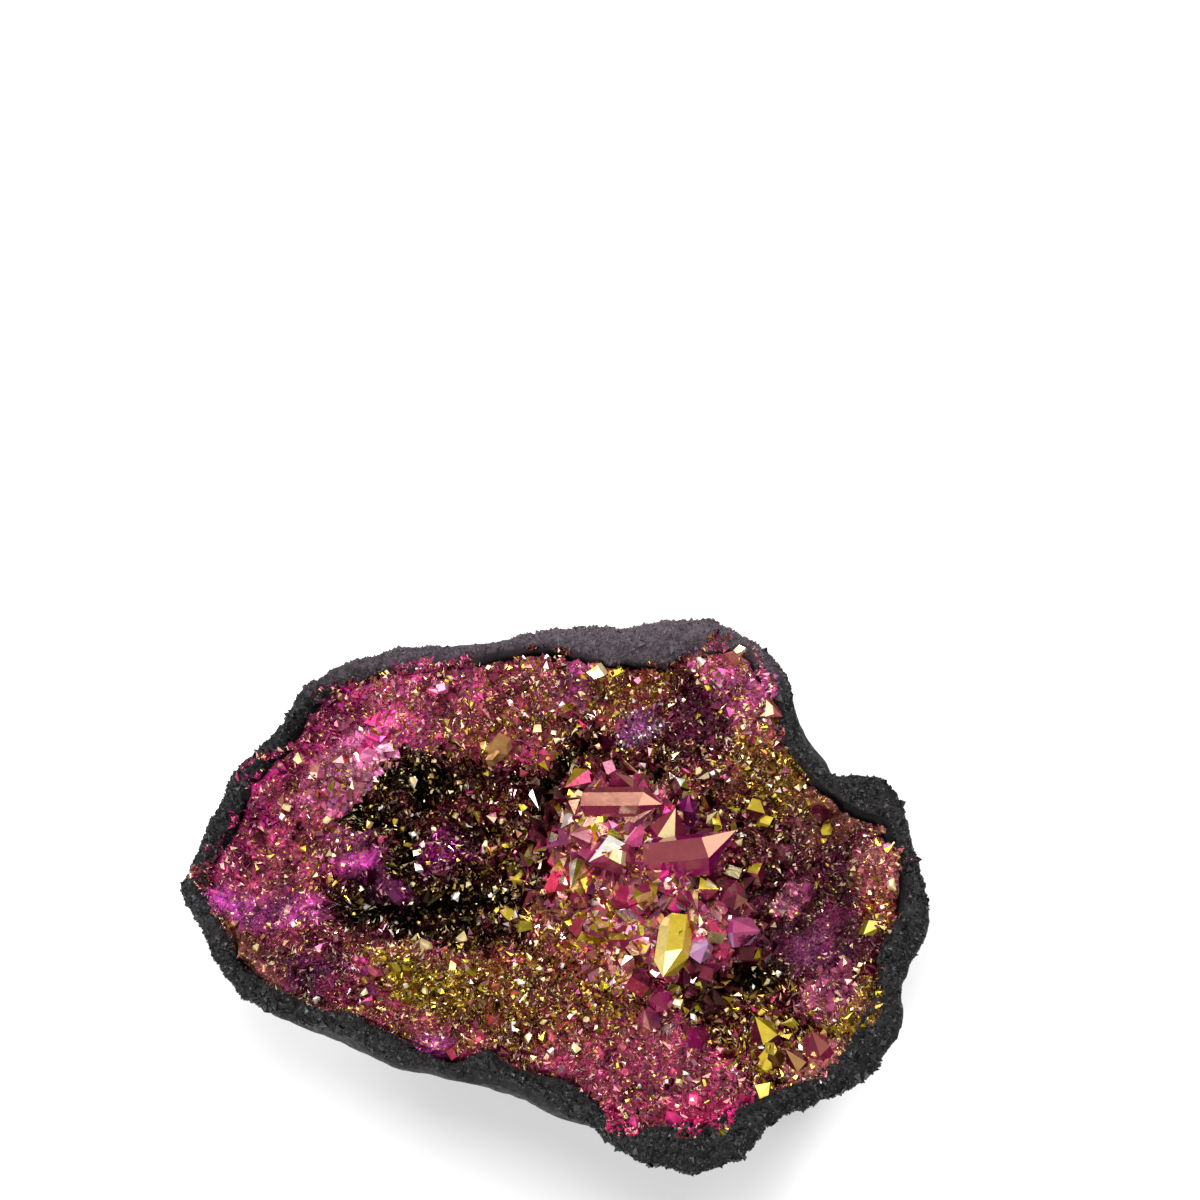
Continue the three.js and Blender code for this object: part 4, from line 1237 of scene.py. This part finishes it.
def make_ridge_points(surface, large, material):
    """Stout points, mostly 1 to 3 mm wide, that crowd the ridge."""
    spots, normals = scattered(surface, RIDGE_COUNT * RIDGE_TRIES)
    keep = (rng.random(len(spots)) < ridge_share(spots) ** RIDGE_FOCUS) & clear_of(spots, large)
    spots, normals = spots[keep][:RIDGE_COUNT], normals[keep][:RIDGE_COUNT]
    widths = np.minimum(varied_widths(RIDGE_POINTS, len(spots)), RIDGE_WIDEST)
    return make_points("ridge_crystals", spots, normals, widths, RIDGE_POINTS, material)


def make_medium_points(surface, large, material):
    """Points mostly 1 to 2 mm wide, thickest on and around the ridge."""
    spots, normals = scattered(surface, MEDIUM_COUNT * MEDIUM_TRIES)
    ridge = ridge_share(spots)
    share = (MEDIUM_AWAY + (1 - MEDIUM_AWAY) * ridge) * zone_values(spots).cover
    keep = (rng.random(len(spots)) < share) & clear_of(spots, large)
    spots, normals, ridge = (part[keep][:MEDIUM_COUNT] for part in (spots, normals, ridge))
    widths = (1 + MEDIUM_GAIN * ridge) * varied_widths(MEDIUM_POINTS, len(spots))
    return make_points("medium_crystals", spots, normals, widths, MEDIUM_POINTS, material)


def make_lip_points(surface, material):
    """The jagged lilac lip that hangs out over the deep pit, with the colours of the slope behind it."""
    spots, normals = scattered(surface, LIP_TRIES)
    start, line = np.array(LIP_FROM) * MM, (np.array(LIP_TO) - np.array(LIP_FROM)) * MM
    along = np.clip((spots[:, :2] - start) @ line / (line @ line), 0, 1)
    away = np.linalg.norm(spots[:, :2] - start - along[:, None] * line, axis=1)
    keep = (away < LIP_HALF) & (spots[:, 2] > LIP_LOWEST)
    spots, normals = spots[keep][:LIP_COUNT], normals[keep][:LIP_COUNT]
    widths = varied_widths(LIP_POINTS, len(spots))
    outwards = unit(normals + np.array(LIP_OUTWARDS))
    piece = make_points("lip_crystals", spots, outwards, widths, LIP_POINTS, material)
    colour, metal, _ = facet_colours(spots + np.array(LIP_COLOUR_SIDE) * MM, 2 * PRISM_SIDES)
    paint(piece.data, "FACE", *by_triangle(colour, metal, PRISM_SIDES))
    return piece


def make_tips(name, sides, spots, normals, size, material):
    """One piece of fine points standing on given spots."""
    colour, metal, grain = facet_colours(spots, sides)
    widths = size * grain * varied_widths(TIPS, len(spots))
    tips = standing(spots, normals, widths, TIPS)
    return add_piece(name, tip_mesh(name, sides, tips, colour, metal), material)


def make_fine_points(surface, large, material):
    """The sparkling fine lining, in two pieces, left and right."""
    spots, normals = scattered(surface, FINE_COUNT)
    keep = clear_of(spots, large) & (rng.random(FINE_COUNT) < FINE_SHARE * zone_values(spots).cover)
    spots, normals = spots[keep], normals[keep]
    left = spots[:, 0] < np.median(spots[:, 0])
    return [
        make_tips("fine_crystals_left", PRISM_SIDES, spots[left], normals[left], 1, material),
        make_tips("fine_crystals_right", PRISM_SIDES, spots[~left], normals[~left], 1, material),
    ]


def make_glitter(surface, large, material):
    """The finest facets, over the fine lining and between its points."""
    spots, normals = scattered(surface, GLITTER_COUNT)
    keep = clear_of(spots, large) & (rng.random(GLITTER_COUNT) < zone_values(spots).cover + GLITTER_EXTRA)
    return make_tips("glitter", GLITTER_SIDES, spots[keep], normals[keep], GLITTER_SIZE, material)


def edge_reach(places):
    """How far the crystals reach over the stone's inner edge, in metres: further at the spills."""
    plan = places[:, :2] / MM
    spill = np.zeros(len(places))
    for x, y, half in SPILLS:
        away = np.hypot(plan[:, 0] - x, plan[:, 1] - y) / half
        spill = np.maximum(spill, np.exp(-(away**SPILL_EDGE)))
    return (EDGE_REACH + SPILL_REACH * spill + WAVE_REACH * layered(places, EDGE_WAVES)) * MM


def make_edge_points(stone, stone_tree, crust_tree, material):
    """Points that spill over the inner edge of the stone and leave its line uneven."""
    surface = mesh_surface(stone.data)
    middles = surface.places[surface.corners].mean(axis=1)
    high = np.flatnonzero(middles[:, 2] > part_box("rind")[1].z - EDGE_BAND * MM)
    reaches = zip(high, edge_reach(middles[high]))
    near = [crust_tree.find_nearest(Vector(middles[k]))[3] < reach for k, reach in reaches]
    spots, normals = scattered(surface._replace(corners=surface.corners[high[near]]), EDGE_COUNT)
    seen = in_hollow(spots + LOOK_OUT * normals, stone_tree)
    spots, upwards = spots[seen], unit(normals[seen] + np.array(EDGE_UPWARDS))
    return make_tips("edge_crystals", PRISM_SIDES, spots, upwards, EDGE_SIZE, material)


# Stage

def make_floor():
    bpy.ops.mesh.primitive_plane_add(size=FLOOR_SIZE)
    floor = bpy.context.active_object
    floor.name = "floor"
    floor.data.materials.append(floor_material())


def add_lamp(name, place, width, power):
    """A square lamp that faces the part."""
    light = bpy.data.lights.new(name, "AREA")
    light.shape = "SQUARE"
    light.size = width
    light.energy = power
    lamp = add_object(name, light)
    lamp.location = place
    lamp.rotation_euler = (LIT_PLACE - Vector(place)).to_track_quat("-Z", "Y").to_euler()


def make_light():
    world = bpy.data.worlds.new("studio")
    world.use_nodes = True
    background = world.node_tree.nodes["Background"]
    background.inputs["Color"].default_value = (1, 1, 1, 1)
    background.inputs["Strength"].default_value = WORLD_STRENGTH
    bpy.context.scene.world = world
    for lamp in LAMPS:
        add_lamp(*lamp)


def make_camera():
    rise = math.radians(CAMERA_ELEVATION)
    back = Vector((0, -math.cos(rise), math.sin(rise)))
    up = Vector((0, math.sin(rise), math.cos(rise)))
    target = AIM + up * AIM_ABOVE_PART
    data = bpy.data.cameras.new("camera")
    data.lens = LENS
    data.sensor_width = SENSOR
    camera = add_object("camera", data)
    camera.location = target + back * CAMERA_DISTANCE
    camera.rotation_euler = (-back).to_track_quat("-Z", "Y").to_euler()
    bpy.context.scene.camera = camera


def dress(piece, slot, *nodes):
    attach(piece, "root")
    if nodes:
        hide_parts(*nodes)


def main():
    make_camera()
    make_floor()
    make_light()
    bpy.context.scene.view_settings.view_transform = "Standard"

    solid = mesh_surface(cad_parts["crystal_crust"].data).places
    stone_tree = tree_of(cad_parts["rind"].data)
    crust_tree = tree_of(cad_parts["crystal_crust"].data)
    stone = make_stone(stone_material(*STONE_LOOK))
    dress(stone, "rind", "rind")
    dress(make_grains(stone, stone_material(*GRAIN_LOOK)), "rind")

    fine, large_look, clear = (crystal_material(*look) for look in (FINE_LOOK, LARGE_LOOK, CLEAR_LOOK))
    lining = make_lining(lining_material(), stone_tree)
    lining_tree = tree_of(lining.data)
    surface = open_side(lining.data, stone_tree)
    dress(lining, "crystals", "crystal_crust")
    edge = make_edge_points(stone, stone_tree, crust_tree, fine)
    large_piece, large = make_large_points(solid, lining_tree, large_look)
    pieces = [
        edge,
        large_piece,
        make_clear_groups(solid, stone_tree, clear),
        make_ridge_points(surface, large, fine),
        make_medium_points(surface, large, fine),
        make_lip_points(surface, fine),
        make_plates(lining_tree, fine),
        make_sparks(surface, fine),
        *make_fine_points(surface, large, fine),
        make_glitter(surface, large, fine),
    ]
    for piece in pieces:
        dress(piece, "crystals")


main()
